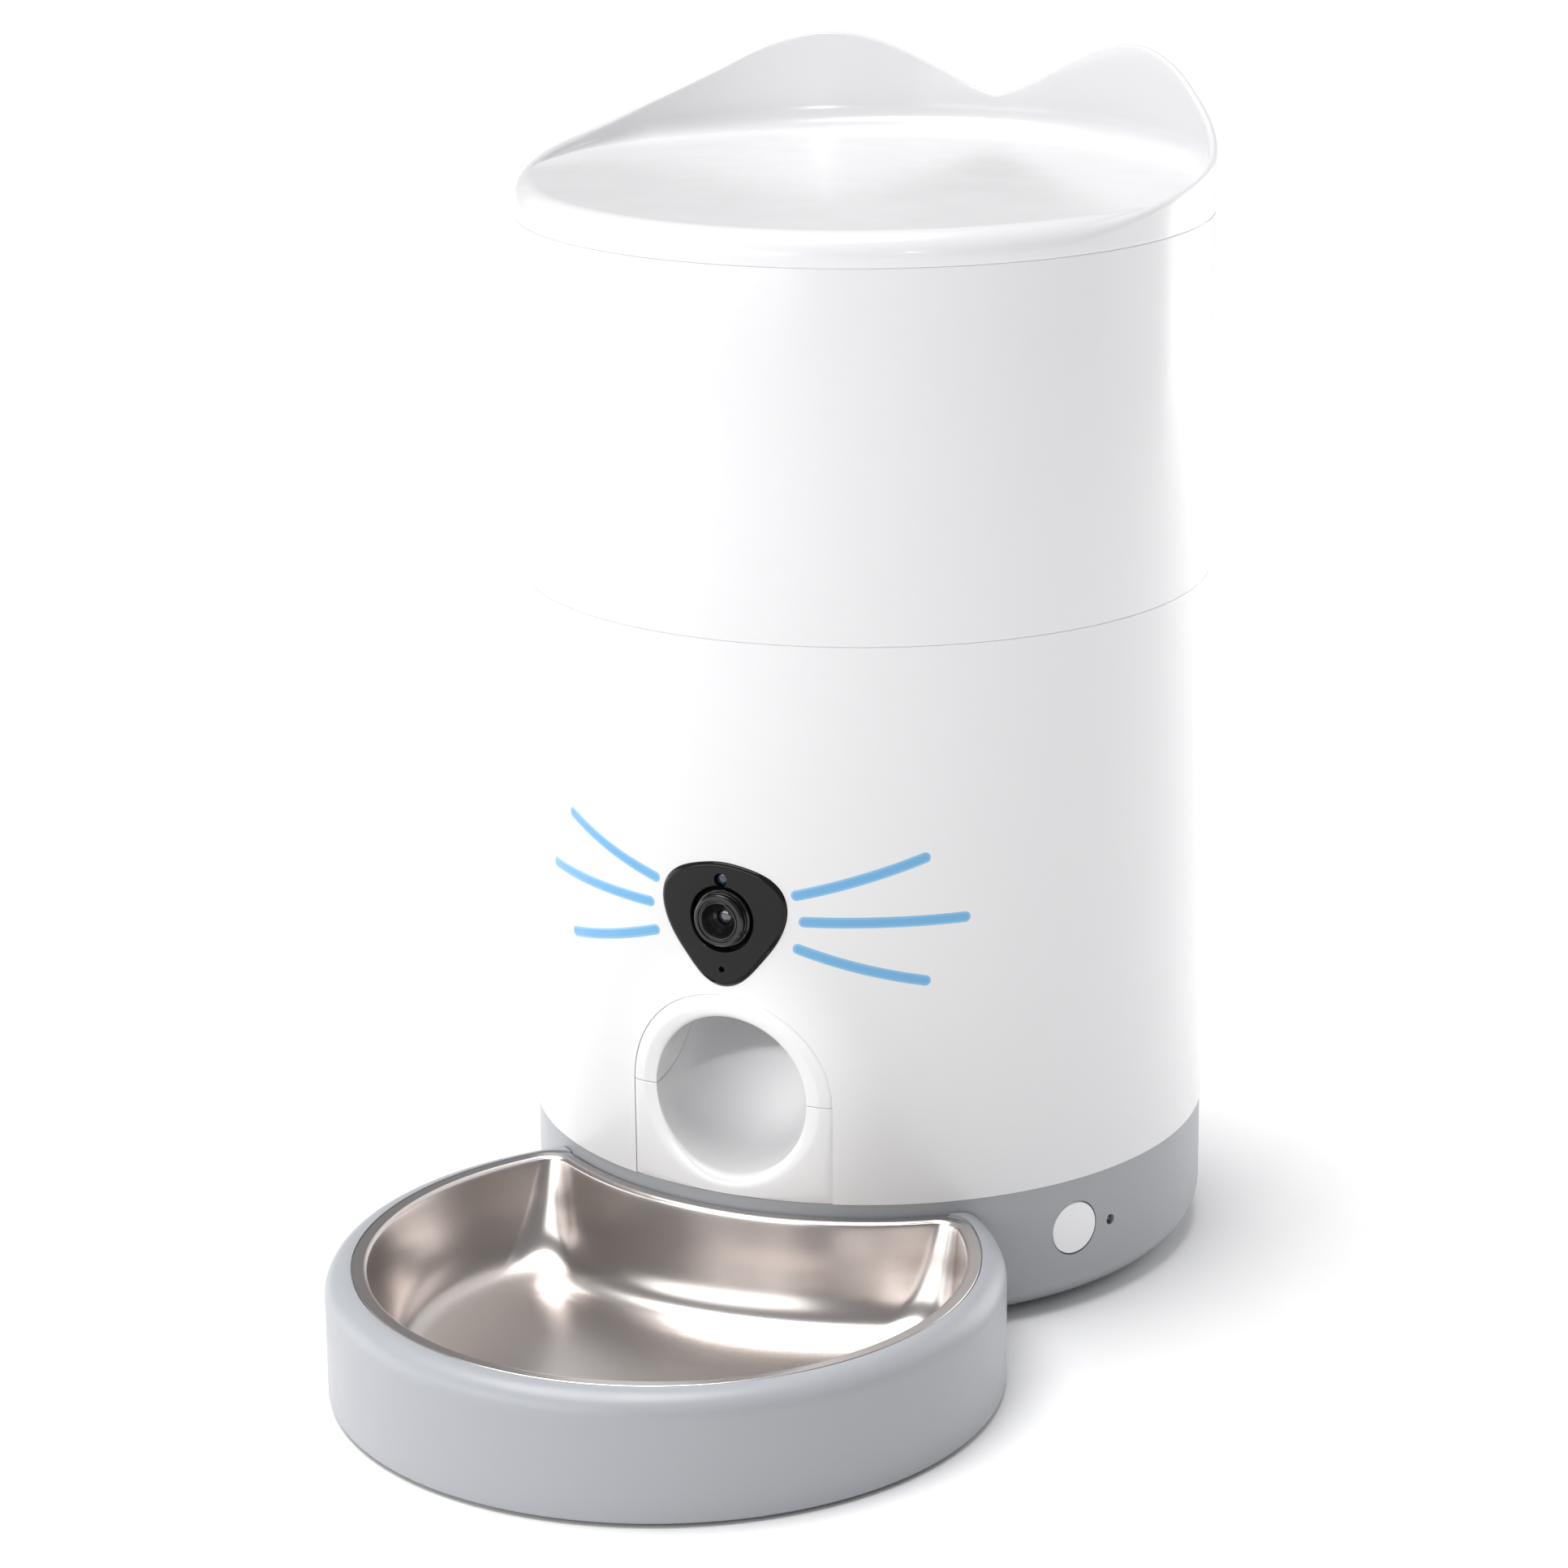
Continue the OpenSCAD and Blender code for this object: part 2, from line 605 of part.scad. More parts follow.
module lower_housing() {
    color(white) difference() {
        union() {
            rotate_extrude() polygon([
                [inner_r, base_h], [body_r, base_h], [body_r, mid_z], [inner_r, mid_z],
                [inner_r, ledge_z], [inner_r - 4, ledge_z], [inner_r - 4, ledge_z - 2],
                [inner_r, ledge_z - 6]
            ]);
            for (a = boss_turns) turned(a) {
                translate([0, -boss_ring, base_h]) cylinder(r = boss_r, h = boss_h, $fn = 48);
                translate([-1, -inner_r - 1, base_h + 6]) cube([2, inner_r + 1 - boss_ring, boss_h - 6]);
            }
            for (a = dock_boss_turns) turned(a) {
                translate([0, -dock_boss_ring, ledge_z - dock_boss_h])
                    cylinder(r = 4, h = dock_boss_h, $fn = 48);
                translate([-1, -inner_r - 1, ledge_z - dock_boss_h])
                    cube([2, inner_r + 1 - dock_boss_ring, dock_boss_h - 2]);
            }
            for (p = board_spots) translate([p[0], 0, p[1]])
                rotate([90, 0, 0]) translate([0, 0, board_y]) cylinder(r = 2.2, h = 6.2, $fn = 48);
        }
        from_front(body_r / 2, body_r) arch_shape(set_gap);
        difference() {
            from_front(body_r / 2, body_r) nose_shape(set_gap);
            cylinder(r = body_r + nose_proud - window_t - set_gap, h = far);
        }
        from_front(board_y + 0.5, 20) translate([0, lens_z]) circle(barrel_seat_r + 1);
        from_front(board_y + 0.5, 20) translate([0, sensor_z]) circle(2.4);
        from_front(board_y + 0.5, 20) translate([0, mic_z]) circle(2.4);
        whisker_set(set_gap, whisker_t + set_gap);
        for (a = boss_turns) turned(a) translate([0, -boss_ring, base_h - 1])
            cylinder(r = screw_r + run_gap, h = boss_h - 4, $fn = 48);
        for (a = dock_boss_turns) turned(a) translate([0, -dock_boss_ring, ledge_z - dock_boss_h + 3])
            cylinder(r = screw_r + run_gap, h = dock_boss_h, $fn = 48);
    }
}

module whisker_strips() {
    color(sky) intersection() {
        whisker_set(0, whisker_t);
        cylinder(r = body_r, h = far);
    }
}

// Well in the top of the housing that takes the rotor cup
module hopper_dock() {
    color(grey) difference() {
        rotate_extrude() polygon([
            [0, dock_under], [dock_r + wall, dock_under], [dock_r + wall, ledge_z],
            [inner_r - lift_gap, ledge_z], [inner_r - lift_gap, dock_top], [dock_r + 1.5, dock_top],
            [dock_r, dock_top - 2.5], [dock_r, dock_floor], [0, dock_floor]
        ]);
        translate([0, 0, dock_under - 1]) cylinder(r = shaft_r + 2, h = 10);
        translate([0, outlet_y, dock_under - 1]) cylinder(r = tube_top_r, h = 10);
        for (a = dock_boss_turns) turned(a) translate([0, -dock_boss_ring, ledge_z - 1])
            cylinder(r = screw_r + set_gap, h = 10, $fn = 48);
        for (p = case_ears) translate([p[0] * ear_x, p[1] * axle_gap, dock_under - 1])
            cylinder(r = screw_r + run_gap, h = 2.8, $fn = 48);
    }
}

module screw(z_head, z_tip) {
    translate([0, 0, min(z_head, z_tip)]) cylinder(r = screw_r, h = abs(z_tip - z_head), $fn = 48);
    translate([0, 0, z_head - (z_tip > z_head ? head_h : 0)]) cylinder(r = head_r, h = head_h, $fn = 48);
}

module dock_screws() {
    color("silver") for (a = dock_boss_turns) turned(a) translate([0, -dock_boss_ring, 0])
        screw(dock_top, ledge_z - dock_boss_h + 4);
}

module outlet_gasket() {
    color(ink) translate([0, outlet_y, dock_floor]) rotate_extrude() polygon([
        [tube_top_r, 0], [tube_top_r + 3.5, 0], [tube_top_r + 3.5, 1], [tube_top_r + 2.4, 1.7],
        [tube_top_r + 1, 1.7], [tube_top_r, 1]
    ]);
}

// Chute: a tube that bends from the mouth in the front up to the outlet
module bend(r) {
    translate([0, mouth_y, mouth_z + bend_r]) rotate([0, 90, 0])
        rotate_extrude(angle = bend_turn) translate([bend_r, 0]) circle(r);
}

// The half of the bend on the inside of its centre line, and the part of the mouth above it
module upper_half(gap) {
    translate([-far / 2, mouth_y, mouth_z + bend_r]) rotate([0, 90, 0]) cylinder(r = bend_r - gap, h = far);
    translate([-far / 2, mouth_y - far, mouth_z + gap]) cube([far, far, far]);
}

// Skin of the insert, the collar that joins it to the tube, and the wider lip that holds it in the wall
collar_r = chute_r + tube_t + 2;
module insert_skin() {
    lip_t = 2.2;
    lip_low = base_h + rim_h + 2;
    lip_h = mouth_z + insert_w - lip_low + 4;
    intersection() {
        ring(body_r, inner_r, base_h, mouth_z + insert_w - base_h + 1);
        from_front(body_r / 2, body_r) arch_shape(0);
    }
    intersection() {
        ring(inner_r + 0.5, inner_r - lip_t, base_h, mouth_z + insert_w - base_h + 2);
        from_front(body_r / 2, body_r) {
            translate([0, mouth_z]) circle(collar_r);
            intersection() {
                arch_shape(0);
                translate([-far / 2, lip_low]) square(far);
            }
        }
    }
    intersection() {
        ring(inner_r - set_gap, inner_r - lip_t, lip_low, lip_h);
        from_front(body_r / 2, body_r) arch_shape(3);
    }
}

// The bore, and the flare round its mouth that widens in two steps
flare_in = 7;
flare_step = 3.3;
flare_r = chute_r + 1.1;
module mouth_cut() {
    bend(chute_r);
    translate([0, flare_in - body_r, mouth_z]) rotate([90, 0, 0]) rotate_extrude() polygon([
        [0, 0], [chute_r - 1, 0], [flare_r, flare_step], [flare_r + 8.8, flare_step + 8], [0, flare_step + 8]
    ]);
}

module chute_hood() {
    color(white) difference() {
        union() {
            insert_skin();
            bend(chute_r + tube_t);
        }
        mouth_cut();
        difference() {
            translate([-far / 2, -far, 0]) cube([far, 2 * far, far]);
            upper_half(0.05);
        }
    }
}

module chute_panel() {
    color(white) difference() {
        union() {
            insert_skin();
            bend(chute_r + tube_t);
        }
        mouth_cut();
        upper_half(-0.05);
    }
}

module drop_tube() {
    flange_t = 2.2;
    tip_t = 1.5;
    color(white) difference() {
        union() {
            intersection() {
                translate([0, bend_y, bend_z]) rotate([bend_turn - 90, 0, 0])
                    cylinder(r1 = chute_r + tube_t, r2 = tube_top_r + tip_t, h = tube_len + 10);
                translate([-far / 2, -far, 0]) cube([far, 2 * far, dock_under - flange_t / 2]);
            }
            translate([0, outlet_y, dock_under - flange_t]) cylinder(r = tube_top_r + 3.4, h = flange_t);
        }
        translate([0, bend_y, bend_z]) rotate([bend_turn - 90, 0, 0]) translate([0, 0, -1])
            cylinder(r1 = chute_r, r2 = tube_top_r, h = tube_len + 12);
    }
}

// Gears
// One spur gear with involute flanks, with a tooth on the +X side
pressure = 20;
function involute(a) = tan(a) * 180 / PI - a;
module spur(teeth, tip, root, bore, width) {
    pitch_r = gear_m * teeth / 2;
    flank_r = pitch_r * cos(pressure);
    top_r = pitch_r + tip * gear_m;
    low_r = pitch_r - root * gear_m;
    start_r = max(flank_r, low_r);
    half = 90 / teeth - backlash / 2 / pitch_r * 90 / PI;
    steps = 4;
    turn = function (r) half + involute(pressure) - involute(acos(min(1, flank_r / r)));
    spot = function (r, a) r * [cos(a), sin(a)];
    linear_extrude(width) difference() {
        polygon([for (k = [0:teeth - 1]) let (mid = 360 * k / teeth) each concat(
            [spot(low_r, mid - turn(start_r) - 0.2)],
            [for (i = [0:steps]) let (r = mix(start_r, top_r, i / steps)) spot(r, mid - turn(r))],
            [for (i = [steps:-1:0]) let (r = mix(start_r, top_r, i / steps)) spot(r, mid + turn(r))],
            [spot(low_r, mid + turn(start_r) + 0.2)])]);
        circle(bore);
    }
}

tip_big = 0.8;
tip_small = 1;
root_cut = 1.25;
half_tooth = 180 / small_teeth;

module big_gear(bore) {
    spur(big_teeth, tip_big, root_cut, bore, gear_w);
}

module small_gear(bore, width) {
    rotate([0, 0, half_tooth]) spur(small_teeth, tip_small, root_cut, bore, width);
}

// Two gears on one hub that turns on a fixed pin
module double_gear(z) {
    bore = pin_r + run_gap;
    translate([0, 0, z]) big_gear(bore);
    translate([0, 0, z + gear_w]) small_gear(bore, gear_w + 0.7);
}

module output_gear() {
    color("ivory") {
        translate([0, 0, level_a]) big_gear(shaft_r - eps);
        translate([0, 0, case_under + 0.8]) cylinder(r = shaft_r, h = dog_top - 3 - case_under);
    }
}

module drive_dog() {
    color("slategray") difference() {
        union() {
            translate([0, 0, dog_low]) linear_extrude(dog_top - dog_low - 1.5) dog_shape(0);
            translate([0, 0, dog_top - 1.5]) linear_extrude(1.5) circle(dog_r - 2);
        }
        translate([0, 0, dog_low - 1]) cylinder(r = shaft_r + run_gap, h = dog_top - dog_low - 1);
    }
}

module second_gear() {
    color("ivory") translate([0, axle_gap, 0]) double_gear(level_b);
}

module first_gear() {
    color("ivory") translate([0, 2 * axle_gap, 0]) double_gear(level_c);
}

module motor_pinion() {
    color("gold") translate([0, motor_y, level_c]) small_gear(pin_r + run_gap / 2, gear_w);
}

module motor_shaft() {
    color("silver") translate([0, motor_y, case_under - motor_h + 4])
        cylinder(r = pin_r, h = level_c + gear_w + 0.5 - case_under + motor_h - 4);
}

module motor() {
    color("silver") translate([0, motor_y, case_under - motor_h]) difference() {
        union() {
            translate([0, 0, 2]) cylinder(r = motor_r, h = motor_h - 2);
            cylinder(r = motor_r - 3, h = 2);
            translate([-5, motor_r - 4.5, -4]) cube([2.5, 1, 5]);
            translate([2.5, motor_r - 4.5, -4]) cube([2.5, 1, 5]);
        }
        translate([0, 0, 3.5]) cylinder(r = pin_r + run_gap, h = motor_h);
    }
}

module gear_pins() {
    color("silver") for (k = [1, 2]) translate([0, k * axle_gap, case_under + 1])
        cylinder(r = pin_r, h = dock_under - 0.5 - case_under - 1);
}

module output_bushing() {
    color("peru") difference() {
        union() {
            translate([0, 0, gear_top + 0.5])
                cylinder(r = shaft_r + 2 - set_gap, h = dock_floor - gear_top - 0.5);
            translate([0, 0, dock_floor]) cylinder(r = shaft_r + 3.5, h = 1);
        }
        translate([0, 0, gear_top]) cylinder(r = shaft_r + run_gap, h = 20);
    }
}

module case_ear(h) {
    for (p = case_ears) translate([p[0] * ear_x, p[1] * axle_gap, 0]) cylinder(r = ear_r, h = h, $fn = 48);
}

module case_ear_holes() {
    for (p = case_ears) translate([p[0] * ear_x, p[1] * axle_gap, case_under - 1])
        cylinder(r = screw_r + run_gap, h = 40, $fn = 48);
}

module gearbox_case() {
    color("dimgray") difference() {
        union() {
            translate([0, 0, case_under]) linear_extrude(gear_top + 0.5 - case_under)
                case_outline(case_r + case_wall);
            translate([0, 0, case_under]) case_ear(gear_top + 0.5 - case_under);
        }
        translate([0, 0, case_floor]) linear_extrude(30) case_outline(case_r);
        translate([0, 0, case_under + 0.8]) cylinder(r = shaft_r + run_gap, h = 10);
        for (k = [1, 2]) translate([0, k * axle_gap, case_under + 1]) cylinder(r = pin_r, h = 10);
        translate([0, motor_y, case_under - 1]) cylinder(r = pin_r + 1, h = 10);
        case_ear_holes();
    }
}

module gearbox_cover() {
    color("dimgray") difference() {
        union() {
            translate([0, 0, gear_top + 0.5]) linear_extrude(dock_under - gear_top - 0.5)
                case_outline(case_r + case_wall);
            translate([0, 0, gear_top + 0.5]) case_ear(dock_under - gear_top - 0.5);
        }
        translate([0, 0, gear_top]) cylinder(r = shaft_r + 2, h = 10);
        for (k = [1, 2]) translate([0, k * axle_gap, gear_top]) cylinder(r = pin_r, h = 2.5);
        case_ear_holes();
    }
}

module gearbox_screws() {
    color("silver") for (p = case_ears) translate([p[0] * ear_x, p[1] * axle_gap, 0])
        screw(case_under, dock_under + 1.5);
}

// Camera
module camera_window() {
    color(ink) difference() {
        intersection() {
            from_front(body_r / 2, body_r) nose_shape(0);
            ring(body_r + nose_proud, body_r + nose_proud - window_t, mic_z - 20, 60);
        }
        from_front(body_r / 2, body_r) translate([0, lens_z]) circle(lens_hole);
        from_front(body_r / 2, body_r) translate([0, sensor_z]) circle(2.1);
        from_front(body_r / 2, body_r) translate([0, mic_z]) circle(0.9);
    }
}

module lens_barrel() {
    front = lens_proud + body_r - board_y;
    seat = body_r - board_y;
    color(ink) translate([0, -board_y, lens_z]) rotate([90, 0, 0]) rotate_extrude() polygon([
        [0, 0], [barrel_seat_r, 0], [barrel_seat_r, seat - 0.8], [barrel_seat_r - 0.8, seat],
        [barrel_r, seat], [barrel_r, front - 0.6], [barrel_r - 0.6, front], [6, front],
        [5.4, front - 0.6], [3.2, front - 4], [3.2, front - 6], [0, front - 6]
    ]);
}

module lens_glass() {
    front = lens_proud + body_r - board_y;
    color("#20304a") translate([0, -board_y, lens_z]) rotate([90, 0, 0]) difference() {
        translate([0, 0, front - 9.5]) sphere(r = 5.2, $fn = 64);
        translate([0, 0, front - 6 - 20]) cylinder(r = 20, h = 20);
        difference() {
            cylinder(r = 20, h = 40);
            cylinder(r = 3.1, h = 60);
        }
    }
}

module camera_board() {
    size = [38, 32];
    color(board_green) difference() {
        from_front(board_y - board_t, board_t) translate([-size[0] / 2, mic_z - 2.4]) square(size);
        for (p = board_spots) from_front(board_y - 5, 10) translate(p) circle(1, $fn = 32);
    }
    color(ink) translate([-6, -board_y + board_t, lens_z - 4]) cube([12, 1.2, 10]);
}

module light_sensor() {
    color("#1f3553") translate([0, -board_y, sensor_z]) rotate([90, 0, 0]) {
        cylinder(r = 1.95, h = body_r - board_y - 0.4, $fn = 48);
        translate([0, 0, body_r - board_y - 1.2]) sphere(r = 1.95, $fn = 48);
    }
}

module microphone() {
    color("silver") translate([0, -board_y, mic_z]) rotate([90, 0, 0]) {
        cylinder(r = 2.2, h = 4.6, $fn = 48);
        cylinder(r = 1, h = 5.2, $fn = 48);
    }
}

// Base
module bay_block(grow, z, h) {
    translate([-bay_w / 2 - grow, bay_y - bay_l / 2 - grow, z]) cube([bay_w + 2 * grow, bay_l + 2 * grow, h]);
}

// A bar along the hinge of the battery door, which ends a little beyond the door
module hinge_bar(r, reach) {
    bar_l = bay_w + 2 * (door_grow + reach);
    translate([-bar_l / 2, hinge_y, hinge_z]) rotate([0, 90, 0]) cylinder(r = r, h = bar_l, $fn = 48);
}

function arc_points(c, r, a0, a1, n) =
    [for (i = [0:n]) let (a = mix(a0, a1, i / n)) c + r * [cos(a), sin(a)]];

module base_shell() {
    rim_r = inner_r - set_gap;
    edge_in = base_edge - wall;
    color(grey) difference() {
        union() {
            rotate_extrude() polygon(concat(
                [[0, floor_gap]],
                arc_points([base_r - base_edge, floor_gap + base_edge], base_edge, -90, 0, 10),
                [[base_r, base_h], [rim_r, base_h], [rim_r, base_h + rim_h], [rim_r - rim_t, base_h + rim_h],
                 [rim_r - rim_t, base_h - 4], [base_r - wall, base_h - 6.5]],
                arc_points([base_r - base_edge, floor_gap + base_edge], edge_in, 0, -90, 8),
                [[0, floor_top]]));
            for (a = boss_turns) turned(a) translate([0, -boss_ring, floor_gap + 0.5])
                cylinder(r = boss_r, h = base_h - floor_gap - 0.5, $fn = 48);
            translate([-9, socket_back - 2, floor_top - 1])
                cube([18, 8, socket_z - 2 * socket_r - floor_top + 1]);
            turned(button_turn) translate([-switch_in - 2, -switch_y - board_t - 2, floor_top - 1])
                cube([switch_board[0] + 4, board_t + 4, 9]);
            translate([0, speaker_y, floor_top - 1]) difference() {
                cylinder(r = speaker_r + 2, h = 4);
                cylinder(r = speaker_r + 0.2, h = 5);
            }
        }
        turned(button_turn)
            translate([-switch_in - set_gap, -switch_y - board_t - set_gap, floor_top + 2 - set_gap])
            cube([switch_board[0] + 2 * set_gap, board_t + 2 * set_gap, 20]);
        bay_block(door_grow + lift_gap, 0, floor_top + 1);
        hinge_bar(hinge_pin + run_gap, hinge_reach + 0.3);
        from_front(body_r / 2, body_r) translate([0, mouth_z]) circle(collar_r + lift_gap);
        turned(button_turn) translate([0, 0, button_z]) rotate([90, 0, 0])
            cylinder(r = button_d / 2 + 0.25, h = far);
        turned(light_turn) translate([0, 0, light_z]) rotate([90, 0, 0])
            cylinder(r = light_d / 2 + set_gap, h = far, $fn = 48);
        turned(180) from_front(base_r - 8, 20) socket_shape(0.4);
        for (s = [-1, 1]) translate([s * hook_x - hook_w / 2 - lift_gap, -base_r - 1, hook_z - lift_gap])
            cube([hook_w + 2 * lift_gap, 20, hook_h + 2 * lift_gap]);
        for (a = boss_turns) turned(a) {
            translate([0, -boss_ring, -1]) cylinder(r = screw_r + run_gap, h = far, $fn = 48);
            translate([0, -boss_ring, -1]) cylinder(r = head_r + 0.3, h = well_top + 1, $fn = 48);
        }
        for (p = foot_spots) translate([p[0], p[1], -1])
            cylinder(r = foot_r + set_gap, h = foot_t + 1, $fn = 64);
        for (k = [-2:2]) let (half = 9 - 1.6 * abs(k)) translate([-half, speaker_y + 4 * k - 0.9, 0])
            cube([2 * half, 1.8, 3 * floor_t]);
    }
}

module base_feet() {
    color(ink) for (p = foot_spots) translate(p) cylinder(r = foot_r, h = foot_t, $fn = 64);
}

module base_screws() {
    color("silver") for (a = boss_turns) turned(a) translate([0, -boss_ring, 0])
        screw(well_top, base_h + boss_h - 6);
}

module battery_box() {
    tab_w = 30;
    tab_l = bay_l + 2 * bay_wall + 12;
    color("dimgray") difference() {
        union() {
            bay_block(bay_wall, bay_rim, bay_top - bay_rim);
            translate([-tab_w, bay_y - tab_l / 2, floor_top]) cube([2 * tab_w, tab_l, 2]);
            at_posts(bay_top - 1) cylinder(r = 3, h = board_lift + 1, $fn = 48);
        }
        bay_block(0, -1, bay_top - 2 + 1);
    }
}

// The four posts that carry the main board
board_lift = 3;
module at_posts(z) {
    for (x = [-post_x, post_x]) for (y = [-post_y, post_y]) translate([x, bay_y + y, z]) children();
}

// Contact plates: a flat one at one end of each cell and a stepped spring cone at the other
module battery_contacts() {
    cell = bay_w / 3;
    color("silver") for (k = [-1:1]) translate([k * cell, bay_y, bay_rim + cell_d / 2]) {
        translate([-6, bay_l / 2 - 0.6, -6]) cube([12, 0.6, 12]);
        translate([-6, -bay_l / 2, -6]) cube([12, 0.6, 12]);
        translate([0, -bay_l / 2 + 0.6, 0]) rotate([-90, 0, 0]) cylinder(r1 = 5, r2 = 3, h = 2.6, $fn = 48);
    }
}

// Door that swings down about two pins behind it, with a finger notch and grip grooves
module battery_door() {
    door_w = bay_w + 2 * door_grow;
    front = bay_y - bay_l / 2 - door_grow;
    notch = [22, 7];
    color(grey) difference() {
        union() {
            translate([-door_w / 2, front, floor_gap]) cube([door_w, hinge_y - front, door_t]);
            hinge_bar(knuckle_r, 0);
            hinge_bar(hinge_pin, hinge_reach);
        }
        translate([-notch[0] / 2, front + 5, floor_gap - 1]) cube([notch[0], notch[1], 1.8]);
        for (k = [-2:3])
            translate([-bay_w / 2 + 8, bay_y + 6 * k, floor_gap - 0.5]) cube([bay_w - 16, 1.5, 1]);
    }
}

// Board with its processor, radio, plug and capacitor
module main_board() {
    z = bay_top + board_lift;
    half_w = post_x + 8;
    half_l = post_y + 8;
    color(board_green) difference() {
        translate([-half_w, bay_y - half_l, z]) cube([2 * half_w, 2 * half_l, board_t]);
        at_posts(z - 1) cylinder(r = screw_r, h = board_t + 2, $fn = 32);
    }
    color(ink) translate([0, bay_y, z + board_t]) {
        translate([-14, -8, 0]) cube([14, 14, 1.6]);
        translate([6, 2, 0]) cube([18, 12, 2.6]);
        translate([-30, 6, 0]) cube([8, 16, 6]);
        translate([10, -18, 0]) cylinder(r = 4, h = 9, $fn = 48);
    }
}

module speaker() {
    color(ink) translate([0, speaker_y, floor_top]) difference() {
        union() {
            cylinder(r = speaker_r, h = 2);
            translate([0, 0, 2]) cylinder(r1 = speaker_r, r2 = 9, h = 3);
            translate([0, 0, 5]) cylinder(r = 7, h = 3);
        }
        translate([0, 0, -1]) cylinder(r1 = speaker_r - 1, r2 = 5, h = 3);
    }
}

// Power inlet, a small flat socket seen from outside as a slot with round ends
module socket_shape(grow) {
    for (s = [-1, 1]) translate([socket_half * s, socket_z]) circle(socket_r + grow, $fn = 32);
    translate([-socket_half, socket_z - socket_r - grow]) square([2 * socket_half, 2 * (socket_r + grow)]);
}

module power_socket() {
    color("silver") turned(180) difference() {
        union() {
            from_front(base_r - 10.5, 9.5) socket_shape(0.3);
            translate([-6, -base_r + 3.5, socket_z - 2 * socket_r]) cube([12, base_r - 3.5 - socket_back, 6]);
        }
        difference() {
            from_front(base_r - 8.5, 20) socket_shape(-0.1);
            from_front(base_r - 9, 6.5) translate([-2.6, socket_z - 0.35]) square([5.2, 0.7]);
        }
    }
}

// Controls, drawn at the front and turned to their place
switch_gap = 0.2;
button_back = base_r - wall - 0.8;
stem_end = button_back - 2 - 3.2;
module feed_button() {
    color(white) turned(button_turn) translate([0, 0, button_z]) rotate([90, 0, 0]) rotate_extrude() polygon([
        [0, stem_end], [2.5, stem_end], [2.5, button_back - 2], [button_d / 2 + 1.6, button_back - 2],
        [button_d / 2 + 1.6, button_back - 0.4], [button_d / 2, button_back - 0.4],
        [button_d / 2, base_r - 0.5], [button_d / 2 - 0.5, base_r], [0, base_r + 0.2]
    ]);
}

module button_switch() {
    plunger = stem_end - button_travel - switch_gap;
    face = switch_y + board_t;
    color(board_green) turned(button_turn) translate([-switch_in, -face, floor_top + 2])
        cube([switch_board[0], board_t, switch_board[1]]);
    color(ink) turned(button_turn) translate([0, -face, button_z]) rotate([90, 0, 0]) {
        translate([-3, -3, -eps]) cube([6, 6, plunger - face - 1]);
        translate([0, 0, -eps]) cylinder(r = 1.7, h = plunger - face, $fn = 48);
    }
}

module status_light() {
    color("#bfe4f5") turned(light_turn) translate([0, 0, light_z]) rotate([90, 0, 0]) {
        translate([0, 0, base_r - 12.6]) cylinder(r = light_d / 2, h = 12, $fn = 48);
        translate([0, 0, base_r - 1.7]) sphere(r = light_d / 2 - 0.02, $fn = 48);
    }
}

// Bowl
// Middle of the corner circle that joins the outer circle of the bowl to the arc behind it
function corner_mid(r, rear, corner) =
    let (y = (bowl_y ^ 2 + (rear + corner) ^ 2 - (r - corner) ^ 2) / (2 * bowl_y))
    [sqrt((rear + corner) ^ 2 - y ^ 2), -y];

// The crescent in plan as a loop of points: a round front, two round corners and the tower's own round
function angle_of(v) = atan2(v[1], v[0]);
function crescent_points(r, rear, corner) =
    let (c = corner_mid(r, rear, corner), main_a = angle_of(c - [0, -bowl_y]), rear_a = angle_of(c),
         half = concat(
            [for (i = [0:17]) let (a = mix(-90, main_a, i / 18)) [0, -bowl_y] + r * [cos(a), sin(a)]],
            [for (i = [0:6]) let (a = mix(main_a, rear_a + 180, i / 7)) c + corner * [cos(a), sin(a)]],
            [for (i = [0:8]) let (a = mix(rear_a, -90, i / 9)) rear * [cos(a), sin(a)]]),
         count = len(half))
    concat(half, [[0, -rear]], [for (i = [count - 1:-1:1]) [-half[i][0], half[i][1]]]);

module crescent(r, rear, corner) {
    polygon(crescent_points(r, rear, corner));
}

// Profile of the bowl from the lip to the floor: distance in from the edge, height, corner radius
bowl_floor = tray_floor + steel_t + 0.5;
bowl_depth = lip_z - bowl_floor;
bowl_line = [
    [0, 1, lip_corner], [lip_w - 0.8, 1, lip_corner - lip_w + 0.8],
    [lip_w - 0.1, 0.985, lip_corner - lip_w + 0.1], [lip_w + 0.4, 0.95, lip_corner - lip_w],
    [lip_w + 1.5, 0.75, 8], [lip_w + 2.8, 0.5, 10], [lip_w + 4.6, 0.27, 12.5],
    [lip_w + 7.6, 0.11, 14.5], [lip_w + 12, 0.03, 16], [lip_w + 18, 0, 17]
];
function bowl_normal(i) =
    let (a = bowl_line[max(0, i - 1)], b = bowl_line[min(len(bowl_line) - 1, i + 1)],
         d = [b[0] - a[0], (b[1] - a[1]) * bowl_depth])
    [d[1], -d[0]] / norm(d);
function bowl_ring(i, under) =
    let (p = bowl_line[i], n = i == 0 || i == 1 ? [0, -1] : bowl_normal(i), t = under ? steel_t : 0,
         inset = p[0] + n[0] * t)
    [for (q = crescent_points(bowl_r - inset, rear_r + inset, p[2] + (p[0] - inset)))
        [q[0], q[1], bowl_floor + p[1] * bowl_depth + n[1] * t]];

